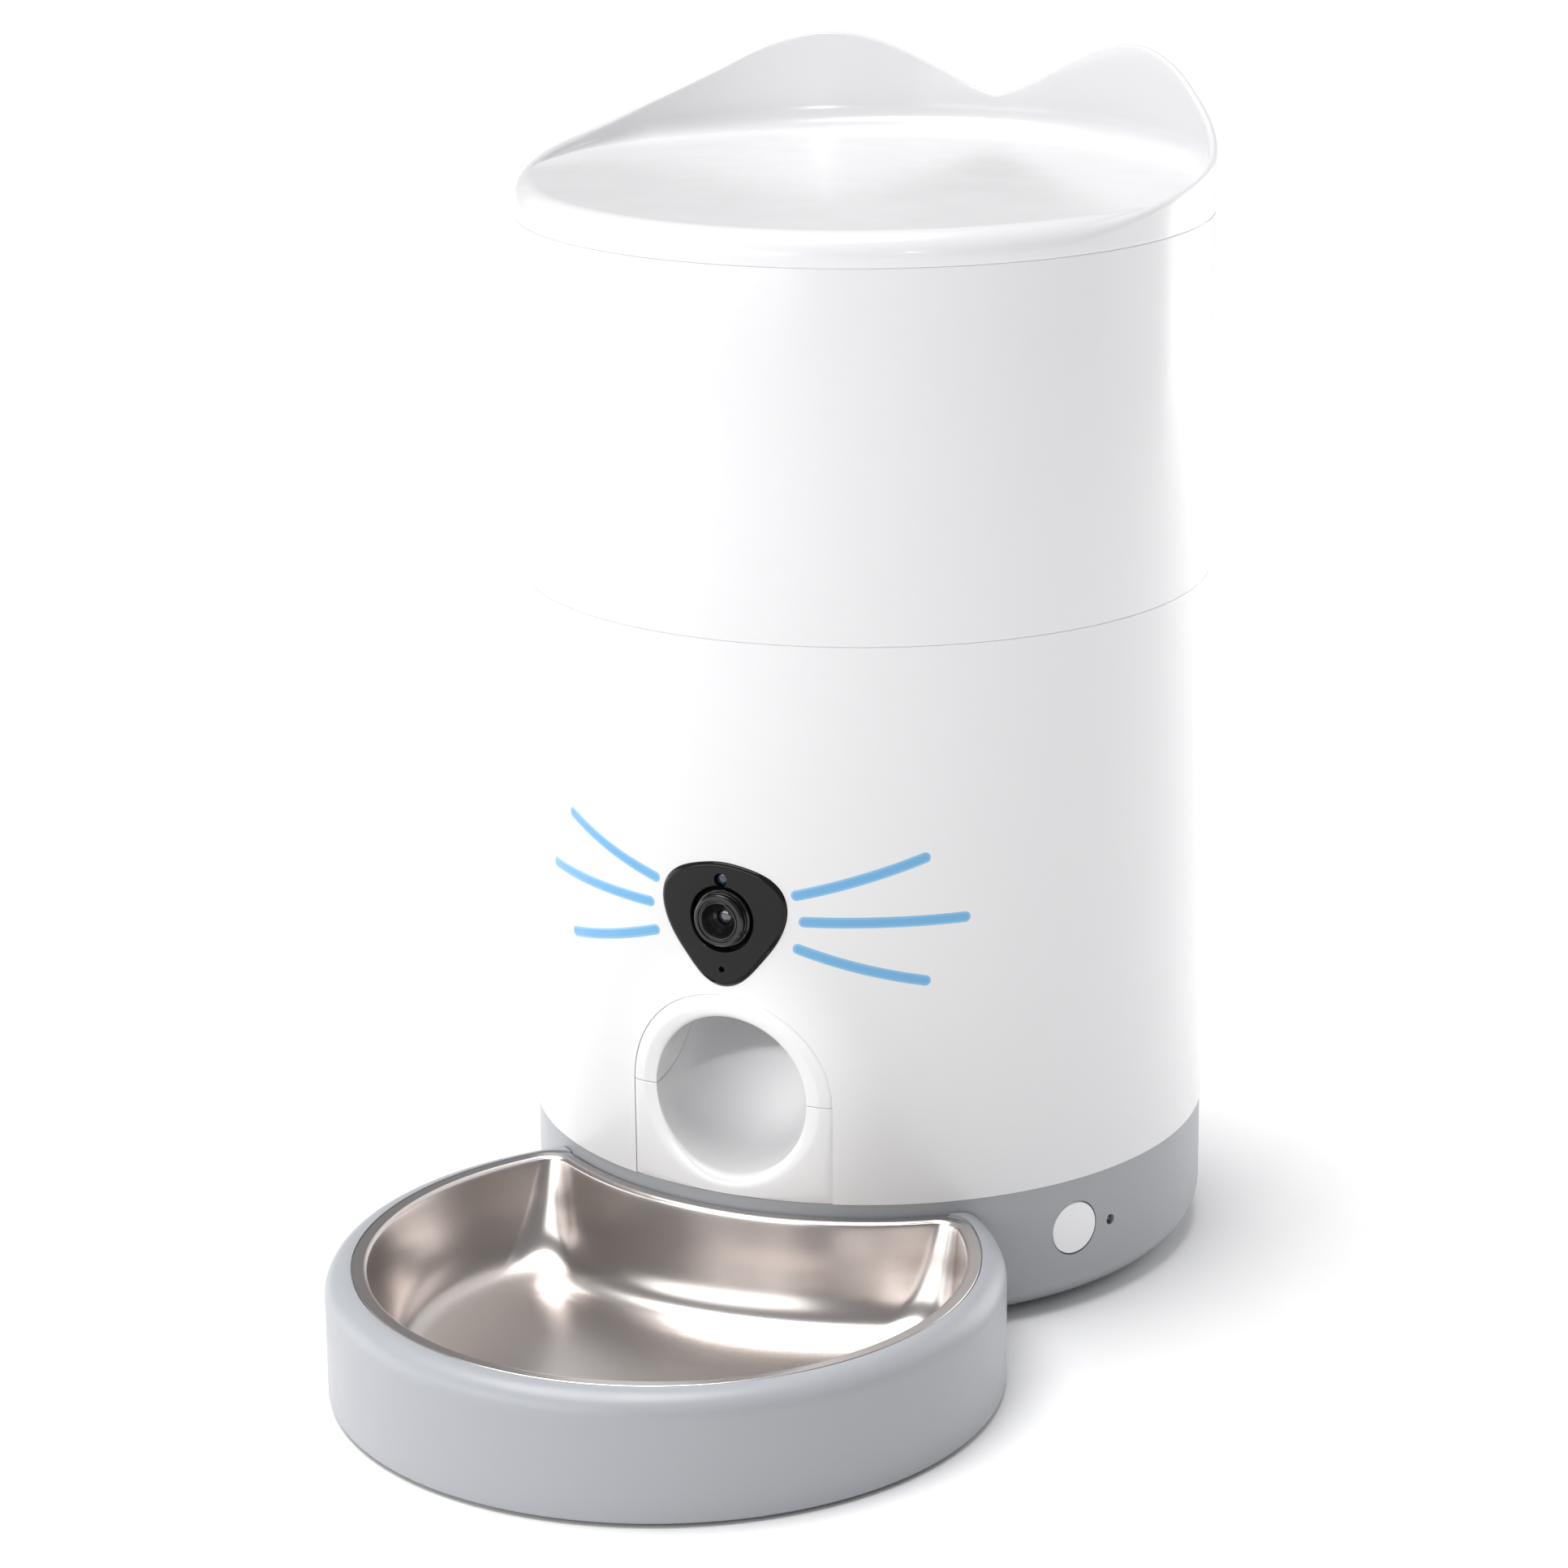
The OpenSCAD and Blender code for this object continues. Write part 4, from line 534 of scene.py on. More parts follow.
# Colour, roughness, drift of tone, scale of the grain and its depth.
FINISHES = {
    "white_shell": plastic("white_gloss", (0.79, 0.792, 0.8), 0.24, 0.006, 1400, 0.0012,
                           Coat_Weight=0.15, Coat_Roughness=0.1),
    "grey_shell": plastic("grey_satin", (0.37, 0.382, 0.405), 0.36, 0.02, 3000, 0.006),
    "button_white": plastic("button_white", (0.92, 0.925, 0.93), 0.24, 0.01, 2500, 0.002),
    "window_black": plastic("black_gloss", (0.009, 0.008, 0.009), 0.09, 0.1, 1200, 0.0008,
                            Specular_IOR_Level=0.22),
    "black_plastic": plastic("black_satin", (0.009, 0.009, 0.01), 0.2, 0.1, 3000, 0.003),
    "lens_glass": lens_painted_reflection(),
    "sensor_lens": plastic("sensor_blue", (0.012, 0.028, 0.075), 0.08, 0.1, 800, 0.0005, Coat_Weight=0.6),
    "light_lens": plastic("light_navy", (0.006, 0.02, 0.05), 0.05, 0.1, 800, 0.0005, Coat_Weight=0.8),
    "whisker_blue": whisker_paint(),
    "cup_plastic": plastic("milky_clear", (0.66, 0.68, 0.7), 0.2, 0.03, 1500, 0.002,
                           Transmission_Weight=0.25, IOR=1.5),
    "rotor_orange": plastic("orange_satin", (0.78, 0.24, 0.05), 0.35, 0.05, 2500, 0.004),
    "soft_silicone": plastic("soft_silicone", (0.5, 0.51, 0.52), 0.5, 0.03, 1800, 0.004),
    "paper_pack": plastic("paper_pack", (0.75, 0.72, 0.64), 0.8, 0.05, 1200, 0.03),
    "gear_plastic": plastic("gear_plastic", (0.78, 0.75, 0.66), 0.35, 0.03, 2500, 0.003),
    "brass_pinion": metal("brass", (0.72, 0.52, 0.22), 0.28, (1, 1, 8)),
    "bronze_bushing": metal("bronze", (0.5, 0.31, 0.16), 0.35, (1, 1, 8)),
    "plain_steel": metal("plain_steel", (0.62, 0.63, 0.64), 0.3, (1, 1, 8)),
    "bowl_steel": metal("bowl_steel", (0.66, 0.615, 0.59), 0.25, (1, 1, 6), 0.0001, 1500, 0.07),
    "board_green": plastic("board_green", (0.02, 0.11, 0.045), 0.3, 0.1, 900, 0.01),
    "foot_rubber": plastic("foot_rubber", (0.03, 0.03, 0.032), 0.65, 0.1, 1500, 0.01),
}
for part in frame["record"]["subparts"]:
    carried = frame["nodes"][part["node"]].data
    carried.materials.clear()
    carried.materials.append(FINISHES[part["material_slot"]])
    carried.shade_smooth()
    carried.set_sharp_from_angle(angle=radians(CAD_SHARP))


def dress(piece, body, slot, *nodes):
    """Gives a piece its finish, the body that it moves with and the CAD nodes that it stands for."""
    piece.data.materials.clear()
    piece.data.materials.append(FINISHES[slot])
    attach(piece, body)
    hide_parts(*nodes)


# Lid
def slope(line, i):
    """Slope of a line of (place, height) pairs at one of them."""
    a, b = line[max(0, i - 1)], line[min(len(line) - 1, i + 1)]
    return (b[1] - a[1]) / (b[0] - a[0])


def smooth(line, x):
    """A height along a smooth curve through (place, height) pairs, level at its start."""
    i = next((k for k in range(len(line) - 2) if x <= line[k + 1][0]), len(line) - 2)
    (x0, y0), (x1, y1) = line[i], line[i + 1]
    h, u = x1 - x0, (x - x0) / (x1 - x0)
    start, end = (0 if i == 0 else slope(line, i)), slope(line, i + 1)
    rise = (2 * u**3 - 3 * u**2 + 1) * y0 + (u**3 - 2 * u**2 + u) * h * start
    return rise + (3 * u**2 - 2 * u**3) * y1 + (u**3 - u**2) * h * end


def ear_height(a):
    """Height of the wall above the plateau, at an angle from the back."""
    if a < EAR_TURN:
        return lerp(EAR_DIP, EAR_PEAK, sin(QUARTER * a / EAR_TURN) ** EAR_BOW)
    return EAR_PEAK * smooth(EAR_FALL, a - EAR_TURN)


def wall_point(a, u):
    """Point of the section behind, at an angle from the back: cove, inside, rim and outside of the wall."""
    height = ear_height(a)
    cove = min(COVE_R, COVE_SHARE * (height - 1))
    top, inside, half = PLATEAU_Z + height, BODY_R - EAR_WALL, EAR_WALL / 2
    if u < COVE_END:
        turn = QUARTER * u / COVE_END
        return inside - cove * (1 - sin(turn)), PLATEAU_Z + cove * (1 - cos(turn))
    if u < INSIDE_END:
        return inside, lerp(PLATEAU_Z + cove, top - half, (u - COVE_END) / (INSIDE_END - COVE_END))
    if u < RIM_END:
        turn = pi * (u - INSIDE_END) / (RIM_END - INSIDE_END)
        return BODY_R - half - half * cos(turn), top - half + half * sin(turn)
    return BODY_R, lerp(top - half, SHOULDER_Z, (u - RIM_END) / (1 - RIM_END))


def lid_side_point(a, u):
    """Point of the lid's section at an angle from the back, from the plateau (0) to the outer side (1)."""
    turn = QUARTER * u
    ahead = PLATEAU_R + SHOULDER_R * sin(turn), SHOULDER_Z + SHOULDER_R * cos(turn)
    behind = wall_point(a, u)
    share = 1 - ramp(a, *EAR_FADE)
    return lerp(ahead[0], behind[0], share), lerp(ahead[1], behind[1], share)


def crown_z(r):
    """Height of the plateau at a distance from its middle."""
    return PLATEAU_Z + CROWN * (1 - (r / PLATEAU_R) ** 2)


def lid_section(a):
    """Section of the lid at an angle from the back: top, side, seam and underside, as (radius, height)."""
    edge_r, edge_z = lid_side_point(a, 0)
    lift = edge_z - crown_z(edge_r)
    line = [(edge_r * f, crown_z(edge_r * f) + lift * f**CROWN_BLEND) for f in CROWN_STEPS]
    line += [lid_side_point(a, u) for u in np.linspace(0, COVE_END, 17)]
    for low, high, steps in ((COVE_END, INSIDE_END, 7), (INSIDE_END, RIM_END, 13), (RIM_END, 1, 7)):
        line += [lid_side_point(a, u) for u in np.linspace(low, high, steps)[1:]]
    line += [(BODY_R - SEAM_R * (1 - cos(t)), LID_Z + SEAM_R * (1 - sin(t)))
             for t in np.linspace(0, QUARTER, 5)]
    line += [(INNER_R, LID_Z), (INNER_R, SHOULDER_Z)]
    inner = SHOULDER_R - WALL
    line += [(PLATEAU_R + inner * cos(t), SHOULDER_Z + inner * sin(t))
             for t in np.linspace(0, QUARTER, 9)[1:]]
    return line + [(r, crown_z(r) - WALL) for r in UNDER_STEPS]


def make_lid():
    """Lid, lofted through its sections."""
    turns = 720
    points = []
    for k in range(turns):
        turn = 360 * k / turns
        line = lid_section(min(turn, 360 - turn))
        s, c = sin(radians(turn)), cos(radians(turn))
        points += [(r * s, r * c, z) for r, z in line]
    section = len(line)
    faces = grid_faces(turns, section, True, False)
    faces.append(tuple(k * section for k in range(turns)))
    faces.append(tuple(k * section + section - 1 for k in reversed(range(turns))))
    return new_piece("lid_shell", points, faces, sharp=50)


# Tank and housing
def make_tank():
    """Tank wall with funnel, neck and spigot, and the ribs under the funnel."""
    funnel_z = TANK_Z + NECK_H
    ring_z = funnel_z + FUNNEL_RISE
    fall = FUNNEL_RISE / (INNER_R - CUP_R)
    thick = WALL / cos(atan(fall))
    cup_wall = CUP_R + WALL
    spigot = INNER_R - SPIGOT_GAP
    spigot_in, spigot_z = spigot - SPIGOT_T, MID_Z - SPIGOT_H
    outline = rounded([
        (CUP_R, TANK_Z, 0.4), (CUP_R, funnel_z, 3), (INNER_R, ring_z, 5), (INNER_R, LID_Z, 0.5),
        (BODY_R, LID_Z, SEAM_R), (BODY_R, MID_Z, SEAM_R), (spigot, MID_Z, 0.2), (spigot, spigot_z, 0.5),
        (spigot_in, spigot_z, 0.3), (spigot_in, MID_Z + SPIGOT_ROOT, 0), (INNER_R, MID_Z + WALL_ROOT, 0),
        (INNER_R, ring_z - thick, 1), (cup_wall, funnel_z - thick + fall * WALL, 0.5),
        (cup_wall, TANK_Z, 0.4),
    ])
    tank = lathe("tank_wall", outline, SHELL_STEPS)
    web = [(CUP_R + RIB_IN, funnel_z - RIB_SUNK + fall * RIB_IN), (INNER_R + OVERLAP, ring_z - OVERLAP),
           (INNER_R + OVERLAP, MID_Z + RIB_LOW), (INNER_R - RIB_FOOT, MID_Z + RIB_LOW)]
    ribs = [prism("rib", web, -RIB_HALF, RIB_HALF, facing(turn)) for turn in RIB_TURNS]
    return joined("tank_wall", [tank, *ribs])


def nose_radius(angle, grow=0):
    """Distance from the lens axis to the edge of the window, at an angle from the right."""
    return NOSE_R + grow + sum(size * cos(waves * (angle + QUARTER)) for waves, size in NOSE_WAVES)


def nose_outline(grow, steps=180):
    """Outline of the window from the front."""
    return [(0, LENS_Z) + polar(nose_radius(a, grow), a) for a in angles_round(steps)]


def arch_outline(grow, low, steps=96):
    """Outline of the insert from the front: a round arch over straight sides."""
    w = INSERT_W + grow
    arch = [(0, MOUTH_Z) + polar(w, a) for a in np.linspace(0, pi, steps + 1)]
    return arch + [(-w, low), (w, low)]


def make_housing():
    """Housing wall with the ledge that the tank stands on, cut for the insert and the window."""
    ledge_z, ledge_r = MID_Z - LEDGE_DOWN, INNER_R - LEDGE_W
    outline = rounded([
        (INNER_R, BASE_H, 0.3), (BODY_R, BASE_H, 0.2), (BODY_R, MID_Z, SEAM_R), (INNER_R, MID_Z, 0.3),
        (INNER_R, ledge_z, 0), (ledge_r, ledge_z, 0.2), (ledge_r, ledge_z - LEDGE_T, 0),
        (INNER_R, ledge_z - LEDGE_FOOT, 0),
    ])
    housing = lathe("housing_wall", outline, SHELL_STEPS)
    cut(housing, [
        prism("arch", arch_outline(ARCH_GAP, BASE_H + BELOW), *SHELL_CUT, facing()),
        prism("nose", nose_outline(NOSE_GAP), *SHELL_CUT, facing()),
    ])
    keep_round(housing, BODY_R)
    return housing


# Camera
def on_cylinder(x, z, radius):
    """The point of an upright cylinder that is seen from the front at a place."""
    return x, -sqrt(radius * radius - x * x), z


def make_window():
    """Black window: a rounded edge, a face that follows the tower, and a hole for the lens."""
    angles = angles_round(WINDOW_STEPS)
    back, front = BODY_R - WINDOW_DEEP, BODY_R + NOSE_PROUD
    hole = LENS_HOLE + HOLE_EDGE
    # Rings from the back round the edge, over the face and into the hole: radii, cylinder and sinking
    rings = [([nose_radius(a) for a in angles], back, 0)]
    for t in np.linspace(0, QUARTER, 9):
        radii = [nose_radius(a, -NOSE_EDGE * (1 - cos(t))) for a in angles]
        rings.append((radii, lerp(BODY_R - NOSE_SUNK, front, sin(t)), 0))
    for share in (0.2, 0.4, 0.6, 0.8, 1):
        rings.append(([lerp(nose_radius(a, -NOSE_EDGE), hole, share) for a in angles], front, 0))
    for t in np.linspace(0, QUARTER, 5)[1:]:
        rings.append(([hole - HOLE_EDGE * sin(t)] * WINDOW_STEPS, front, HOLE_EDGE * (1 - cos(t))))
    rings.append(([LENS_HOLE] * WINDOW_STEPS, back, 0))
    points = []
    for radii, radius, sunk in rings:
        for a, r in zip(angles, radii):
            x, y, z = on_cylinder(r * cos(a), LENS_Z + r * sin(a), radius)
            points.append((x, y + sunk, z))
    faces = grid_faces(len(rings), WINDOW_STEPS, True, True)
    window = new_piece("window_plate", points, faces, sharp=40)
    holes = [
        prism("sensor_hole", circle(SENSOR_HOLE, 48, 0, SENSOR_Z), *WINDOW_CUT, facing()),
        prism("mic_hole", circle(MIC_HOLE, 32, 0, MIC_Z), *WINDOW_CUT, facing()),
    ]
    cut(window, holes, sharp=40)
    keep_round(window, front)
    return window


def make_barrel():
    """Lens barrel with two grooves round its side, a stepped face and a cone down to the glass.

    Its profile holds distances from the lens axis and from the tower's middle, and corner radii."""
    front, face = BARREL_FRONT, BODY_R
    outline = rounded([
        (AXIS_R, face - 6, 0), (9.2, face - 6, 0), (9.2, face - 2.2, 0.3), (8.6, face - 1.6, 0.1),
        (8.6, face - 0.2, 0.3), (7.9, face + 0.1, 0.1), (7.9, face + 0.9, 0.15), (7.35, face + 1.05, 0.1),
        (7.35, face + 1.45, 0.1), (7.9, face + 1.6, 0.15), (7.75, front - 0.5, 0.3), (7.2, front, 0.3),
        (6.5, front, 0.15), (6.3, front - 0.5, 0.1), (5.9, front - 0.5, 0.1), (5.6, front - 0.1, 0.12),
        (5.25, front - 0.2, 0.12), (4.3, front - 2.2, 0.1), (4.2, front - 2.4, 0), (3.3, front - 3.4, 0.1),
        (3.2, front - 3.7, 0), (2.3, front - 4.4, 0.1), (2.2, front - 5.4, 0), (AXIS_R, front - 5.4, 0),
    ], 4)
    return turned("lens_barrel_turned", outline, LENS_Z, steps=128, sharp=30)


def dome(radius, low, height, back, steps, tip=DOME_TIP):
    """Outline of a stem with a domed front: radius, foot and height of the dome, and back."""
    front = [(radius * sin(t), low + height * cos(t)) for t in np.linspace(tip, QUARTER, steps)]
    return front + [(radius, back), (AXIS_R, back)]


def make_glass():
    """Domed front glass of the lens."""
    front = BARREL_FRONT - GLASS_DOWN
    outline = dome(GLASS_R, front - GLASS_DOME, GLASS_DOME, front - GLASS_T, 12)
    return turned("lens_front_glass", outline, LENS_Z, sharp=50)


def make_sensor():
    """Light sensor: a low dome above the lens."""
    outline = dome(SENSOR_R, BODY_R - SENSOR_DOWN, SENSOR_DOME, BODY_R - SENSOR_T, 10)
    return turned("light_sensor_dome", outline, SENSOR_Z, steps=64, sharp=50)


# Whiskers
def whisker_place(line, t):
    """Place on the unrolled wall, along and up, at a share of the curve through three points."""
    start, middle, end = (np.array(p) for p in line)
    bow = 2 * middle - (start + end) / 2
    turn, height = (1 - t) ** 2 * start + 2 * t * (1 - t) * bow + t * t * end
    return np.array([BODY_R * radians(turn), LENS_Z + height])


def whisker_stations():
    """Stations of a strip: share of its curve, distance beyond that, and share of the full width."""
    first = np.linspace(WHISKER_TIP, QUARTER, WHISKER_END_STEPS)[:-1]
    last = np.linspace(0, QUARTER - WHISKER_TIP, WHISKER_END_STEPS)[1:]
    stations = [(0, -WHISKER_HALF * cos(t), sin(t)) for t in first]
    stations += [(i / WHISKER_STEPS, 0, 1) for i in range(WHISKER_STEPS + 1)]
    return stations + [(1, WHISKER_HALF * sin(t), cos(t)) for t in last]


def whisker_strip(line, side):
    """One strip: a curved band with round ends that swells slightly from the housing."""
    points, depths = [], []
    stations = whisker_stations()
    for t, beyond, width in stations:
        ahead = whisker_place(line, min(1, t + WHISKER_LOOK))
        ahead -= whisker_place(line, max(0, t - WHISKER_LOOK))
        ahead /= np.linalg.norm(ahead)
        aside = np.array([-ahead[1], ahead[0]])
        centre = whisker_place(line, t) + ahead * beyond
        for j in range(WHISKER_ACROSS + 1):
            v = -cos(pi * j / WHISKER_ACROSS) * width
            reach = hypot(beyond / WHISKER_HALF, v)
            along, up = centre + aside * v * WHISKER_HALF
            radius = BODY_R + WHISKER_SWELL * max(0.0, 1 - reach**6) - WHISKER_SUNK
            points.append((radius * sin(side * along / BODY_R), -radius * cos(along / BODY_R), up))
            depths.append(min(1.0, WHISKER_BORDER * max(0.0, 1 - reach)))
    rows, columns = len(stations), WHISKER_ACROSS + 1
    count = len(points)
    for x, y, z in points[:count]:
        shrink = (BODY_R - WHISKER_DEEP) / hypot(x, y)
        points.append((x * shrink, y * shrink, z))
        depths.append(0.0)
    faces = grid_faces(rows, columns)
    faces += [tuple(count + k for k in reversed(f)) for f in faces]
    border = [*range(columns), *range(2 * columns - 1, count, columns)]
    border += [*range(count - 2, count - columns - 1, -1), *range(count - 2 * columns, 0, -columns)]
    for k, here in enumerate(border):
        ahead = border[(k + 1) % len(border)]
        faces.append((here, ahead, count + ahead, count + here))
    return new_piece("whisker", points, faces, sharp=50, depths=depths)


def make_whiskers():
    """All six strips as one piece."""
    strips = [whisker_strip(line, side) for side in (1, -1) for line in WHISKERS]
    return joined("whisker_strips_painted", strips)


# Chute
def mouth_edge(angle):
    """Distance from the mouth's middle to the outline of the insert, at an angle from the right."""
    c, s = cos(angle), sin(angle)
    if s >= 0:
        return INSERT_W
    return min(INSERT_W / max(abs(c), 1e-9), (MOUTH_Z - BASE_H - INSERT_GAP) / -s)


def chute_point(angle, step, back=False):
    """Point of the insert at an angle round the mouth, on its front or back.

    Steps 0 to 1 lead from its outline to the collar, 1 to 2 over the rim and 2 to 3 up the bend."""
    c, s = cos(angle), sin(angle)
    if step <= 1:
        r = lerp(mouth_edge(angle), COLLAR_R, step)
        x, y, z = on_cylinder(r * c, MOUTH_Z + r * s, BODY_R)
        return x, y + INSERT_T if back else y, z
    if step <= 2:
        t = QUARTER * (step - 1)
        x, y, z = on_cylinder(COLLAR_R * c, MOUTH_Z + COLLAR_R * s, BODY_R)
        if back:
            return x, lerp(y + INSERT_T, MOUTH_Y + LIP_T, step - 1), z
        r = COLLAR_R - RIM_R * sin(t)
        return r * c, lerp(y, MOUTH_Y, 1 - cos(t)), MOUTH_Z + r * s
    bend = radians(BEND_TURN * (step - 2))
    radius = TUBE_R if back else CHUTE_R
    reach = BEND_R - radius * s
    return radius * c, MOUTH_Y + reach * sin(bend), MOUTH_Z + BEND_R - reach * cos(bend)


def into_wall(angle, step, depth):
    """Point under the front of the insert, some way into its wall."""
    front, behind = Vector(chute_point(angle, step)), Vector(chute_point(angle, step, True))
    way = behind - front
    return front + way * min(1, depth / way.length)


def make_chute(name, first, last):
    """One half of the insert, between two angles, with a fine edge where it meets the other half."""
    corner = atan2(MOUTH_Z - BASE_H - INSERT_GAP, INSERT_W)
    angles = {*np.linspace(first, last, HALF_STEPS)[1:-1], pi + corner, FULL - corner}
    # Lines round the mouth: angle, shift along the rim and depth of the fine edge
    lines = [(first, SPLIT_GAP, SPLIT_EDGE), (first, SPLIT_GAP + SPLIT_EDGE, 0)]
    lines += [(angle, 0, 0) for angle in sorted(angles) if first < angle < last]
    lines += [(last, -SPLIT_GAP - SPLIT_EDGE, 0), (last, -SPLIT_GAP, SPLIT_EDGE)]
    steps = [0, 0.1, 0.3, 0.5, 0.7, 0.85, *np.linspace(1, 2, 17), *np.linspace(2, 3, 33)[1:]]
    count = len(steps)
    points = []
    for angle, shift, depth in lines:
        front, behind = [], []
        for k, step in enumerate(steps):
            x, _, z = chute_point(angle, min(step, 2))
            a = angle + shift / hypot(x, z - MOUTH_Z)
            edge = SEAM_R if k == 0 else 0
            front.append(into_wall(a, step, depth + edge))
            behind.append(Vector(chute_point(a, step, True)))
        points += front + behind[::-1]
    faces = grid_faces(len(lines), 2 * count, False, True)
    start = (len(lines) - 1) * 2 * count
    for k in range(count - 1):
        pair = (k, k + 1, 2 * count - 2 - k, 2 * count - 1 - k)
        faces += [pair[::-1], tuple(start + i for i in pair)]
    return new_piece(name, points, faces, sharp=40)


# Base
def hook_outline(side, grow=0):
    """Outline of one hook from the front."""
    return box_outline(side * HOOK_X, HOOK_Z + HOOK_H / 2, HOOK_W / 2 + grow, HOOK_H / 2 + grow)


def base_wall_cutters():
    """Cutters for the button, light, chute collar, hooks and power inlet."""
    cutters = [
        prism("button_hole", circle(BUTTON_R + BUTTON_GAP, 96, 0, BUTTON_Z), *BASE_CUT, facing(BUTTON_TURN)),
        prism("light_hole", circle(LIGHT_R + LIGHT_GAP, 48, 0, LIGHT_Z), *BASE_CUT, facing(LIGHT_TURN)),
        prism("collar_notch", circle(COLLAR_R + COLLAR_GAP, 96, 0, MOUTH_Z),
              BASE_CUT[0], INNER_R + COLLAR_CUT, facing()),
    ]
    for side in (-1, 1):
        cutters.append(prism("hook_slot", hook_outline(side, HOOK_GAP), *REAR_CUT, facing()))
    socket = [(x + copysign(SOCKET_HALF, x), y) for x, y in circle(SOCKET_R, 48, 0, SOCKET_Z)]
    return cutters + [prism("socket", socket, *REAR_CUT, facing(SOCKET_TURN))]


def base_floor_cutters(through):
    """Cutters for the battery bay, feet, screws and speaker grille."""
    low = -OVERLAP
    bay = box_outline(0, (BAY_FRONT + BAY_BACK) / 2, BAY_X, (BAY_BACK - BAY_FRONT) / 2)
    cutters = [prism("battery_opening", bay, low, through)]
    for x, y in [(0, 0), *ring_spots(FOOT_RING, FOOT_TURNS)]:
        cutters.append(prism("foot_pocket", circle(FOOT_R, 64, x, y), low, FOOT_TOP))
    for x, y in ring_spots(WELL_RING, WELL_TURNS):
        cutters.append(prism("screw_well", circle(WELL_R, 48, x, y), low, through))
    for k in range(-2, 3):
        half = GRILLE_HALF - GRILLE_TAPER * abs(k)
        slot = box_outline(0, GRILLE_Y + GRILLE_STEP * k, half, GRILLE_W / 2)
        cutters.append(prism("grille_slot", slot, low, through))
    return cutters


def make_base():
    """Base tub with a tongue, its openings and the bosses of its screws."""
    rim, inside, under = INNER_R - TONGUE_GAP, BASE_R - WALL, FLOOR_GAP + WALL
    outline = rounded([
        (AXIS_R, FLOOR_GAP, 0), (BASE_R, FLOOR_GAP, BASE_EDGE), (BASE_R, BASE_H, 0.25), (rim, BASE_H, 0),
        (rim, BASE_H + TONGUE_H, 0.4), (rim - TONGUE_T, BASE_H + TONGUE_H, 0.4),
        (rim - TONGUE_T, BASE_H - TONGUE_H, 0), (inside, BASE_H - BASE_SHELF, 0),
        (inside, under, BASE_EDGE - WALL), (AXIS_R, under, 0),
    ], 12)
    base = lathe("base_tub", outline, SHELL_STEPS)
    cut(base, base_wall_cutters() + base_floor_cutters(under + OVERLAP))
    bosses = [tube("screw_boss", x, y, WELL_R, BOSS_R, under - BOSS_SUNK, WELL_TOP)
              for x, y in ring_spots(WELL_RING, WELL_TURNS)]
    base = joined("base_tub", [base, *bosses])
    keep_round(base, BASE_R)
    return base


def make_button():
    """Feed button: a crowned cap with a soft edge."""
    back, front = BASE_R - BUTTON_T, BASE_R - BUTTON_SUNK
    outline = [(AXIS_R, back, 0), (BUTTON_R, back, 0), (BUTTON_R, front, 0.6),
               (AXIS_R, front + BUTTON_CROWN, 0)]
    return turned("feed_button_cap", rounded(outline, 8), BUTTON_Z, BUTTON_TURN)


def make_light():
    """Status light: a small dome on a stem."""
    outline = dome(LIGHT_R, BASE_R - LIGHT_DOWN, LIGHT_DOME, BASE_R - LIGHT_T, 12, LIGHT_TIP)
    return turned("status_light_dome", outline, LIGHT_Z, LIGHT_TURN, steps=64, sharp=50)


# Bowl
def crescent(r, rear, corner, fine=1):
    """Crescent outline in plan: a round front, two round corners and the tower's own round behind."""
    y = (BOWL_Y**2 + (rear + corner) ** 2 - (r - corner) ** 2) / (2 * BOWL_Y)
    c = np.array([sqrt((rear + corner) ** 2 - y * y), -y])
    middle = np.array([0, -BOWL_Y])
    front_a, rear_a = atan2(*(c - middle)[::-1]), atan2(*c[::-1])
    arcs = [(middle, r, -QUARTER, front_a), (c, corner, front_a, rear_a + pi),
            (0, rear, rear_a, -QUARTER)]
    half = []
    for (centre, radius, start, end), steps in zip(arcs, CRESCENT_STEPS):
        for t in np.linspace(0, 1, steps * fine + 1)[:-1]:
            half.append(centre + polar(radius, lerp(start, end, t)))
    return half + [np.array([0, -rear])] + [p * (-1, 1) for p in reversed(half[1:])]


def spline(values, t):
    """Smooth curve through values that lie at 0, 1, 2 and so on."""
    last = len(values) - 1
    i = min(last - 1, int(t))
    u = t - i
    a, b, c, d = (values[max(0, min(last, k))] for k in (i - 1, i, i + 1, i + 2))
    return 0.5 * (2 * b + (c - a) * u + (2 * a - 5 * b + 4 * c - d) * u * u + (3 * b - a - 3 * c + d) * u**3)


def bowl_sections():
    """Sections of the bowl's upper side from its edge to its floor: inset, height and corner radius."""
    half = STEEL / 2
    floor = TRAY_FLOOR + STEEL + BOWL_GAP
    sections = [(half + half * cos(t), HOLDER_H - half + half * sin(t), LIP_CORNER)
                for t in np.linspace(pi, QUARTER, LIP_STEPS)]
    sections += [(inset, HOLDER_H, LIP_CORNER - inset) for inset in LIP_INSETS]
    for t in np.linspace(0, len(BOWL_LINE) - 1, BOWL_STEPS):
        inset, share, corner = spline(BOWL_LINE, t)
        sections.append((inset, floor + share * (HOLDER_H - floor), corner))
    return sections


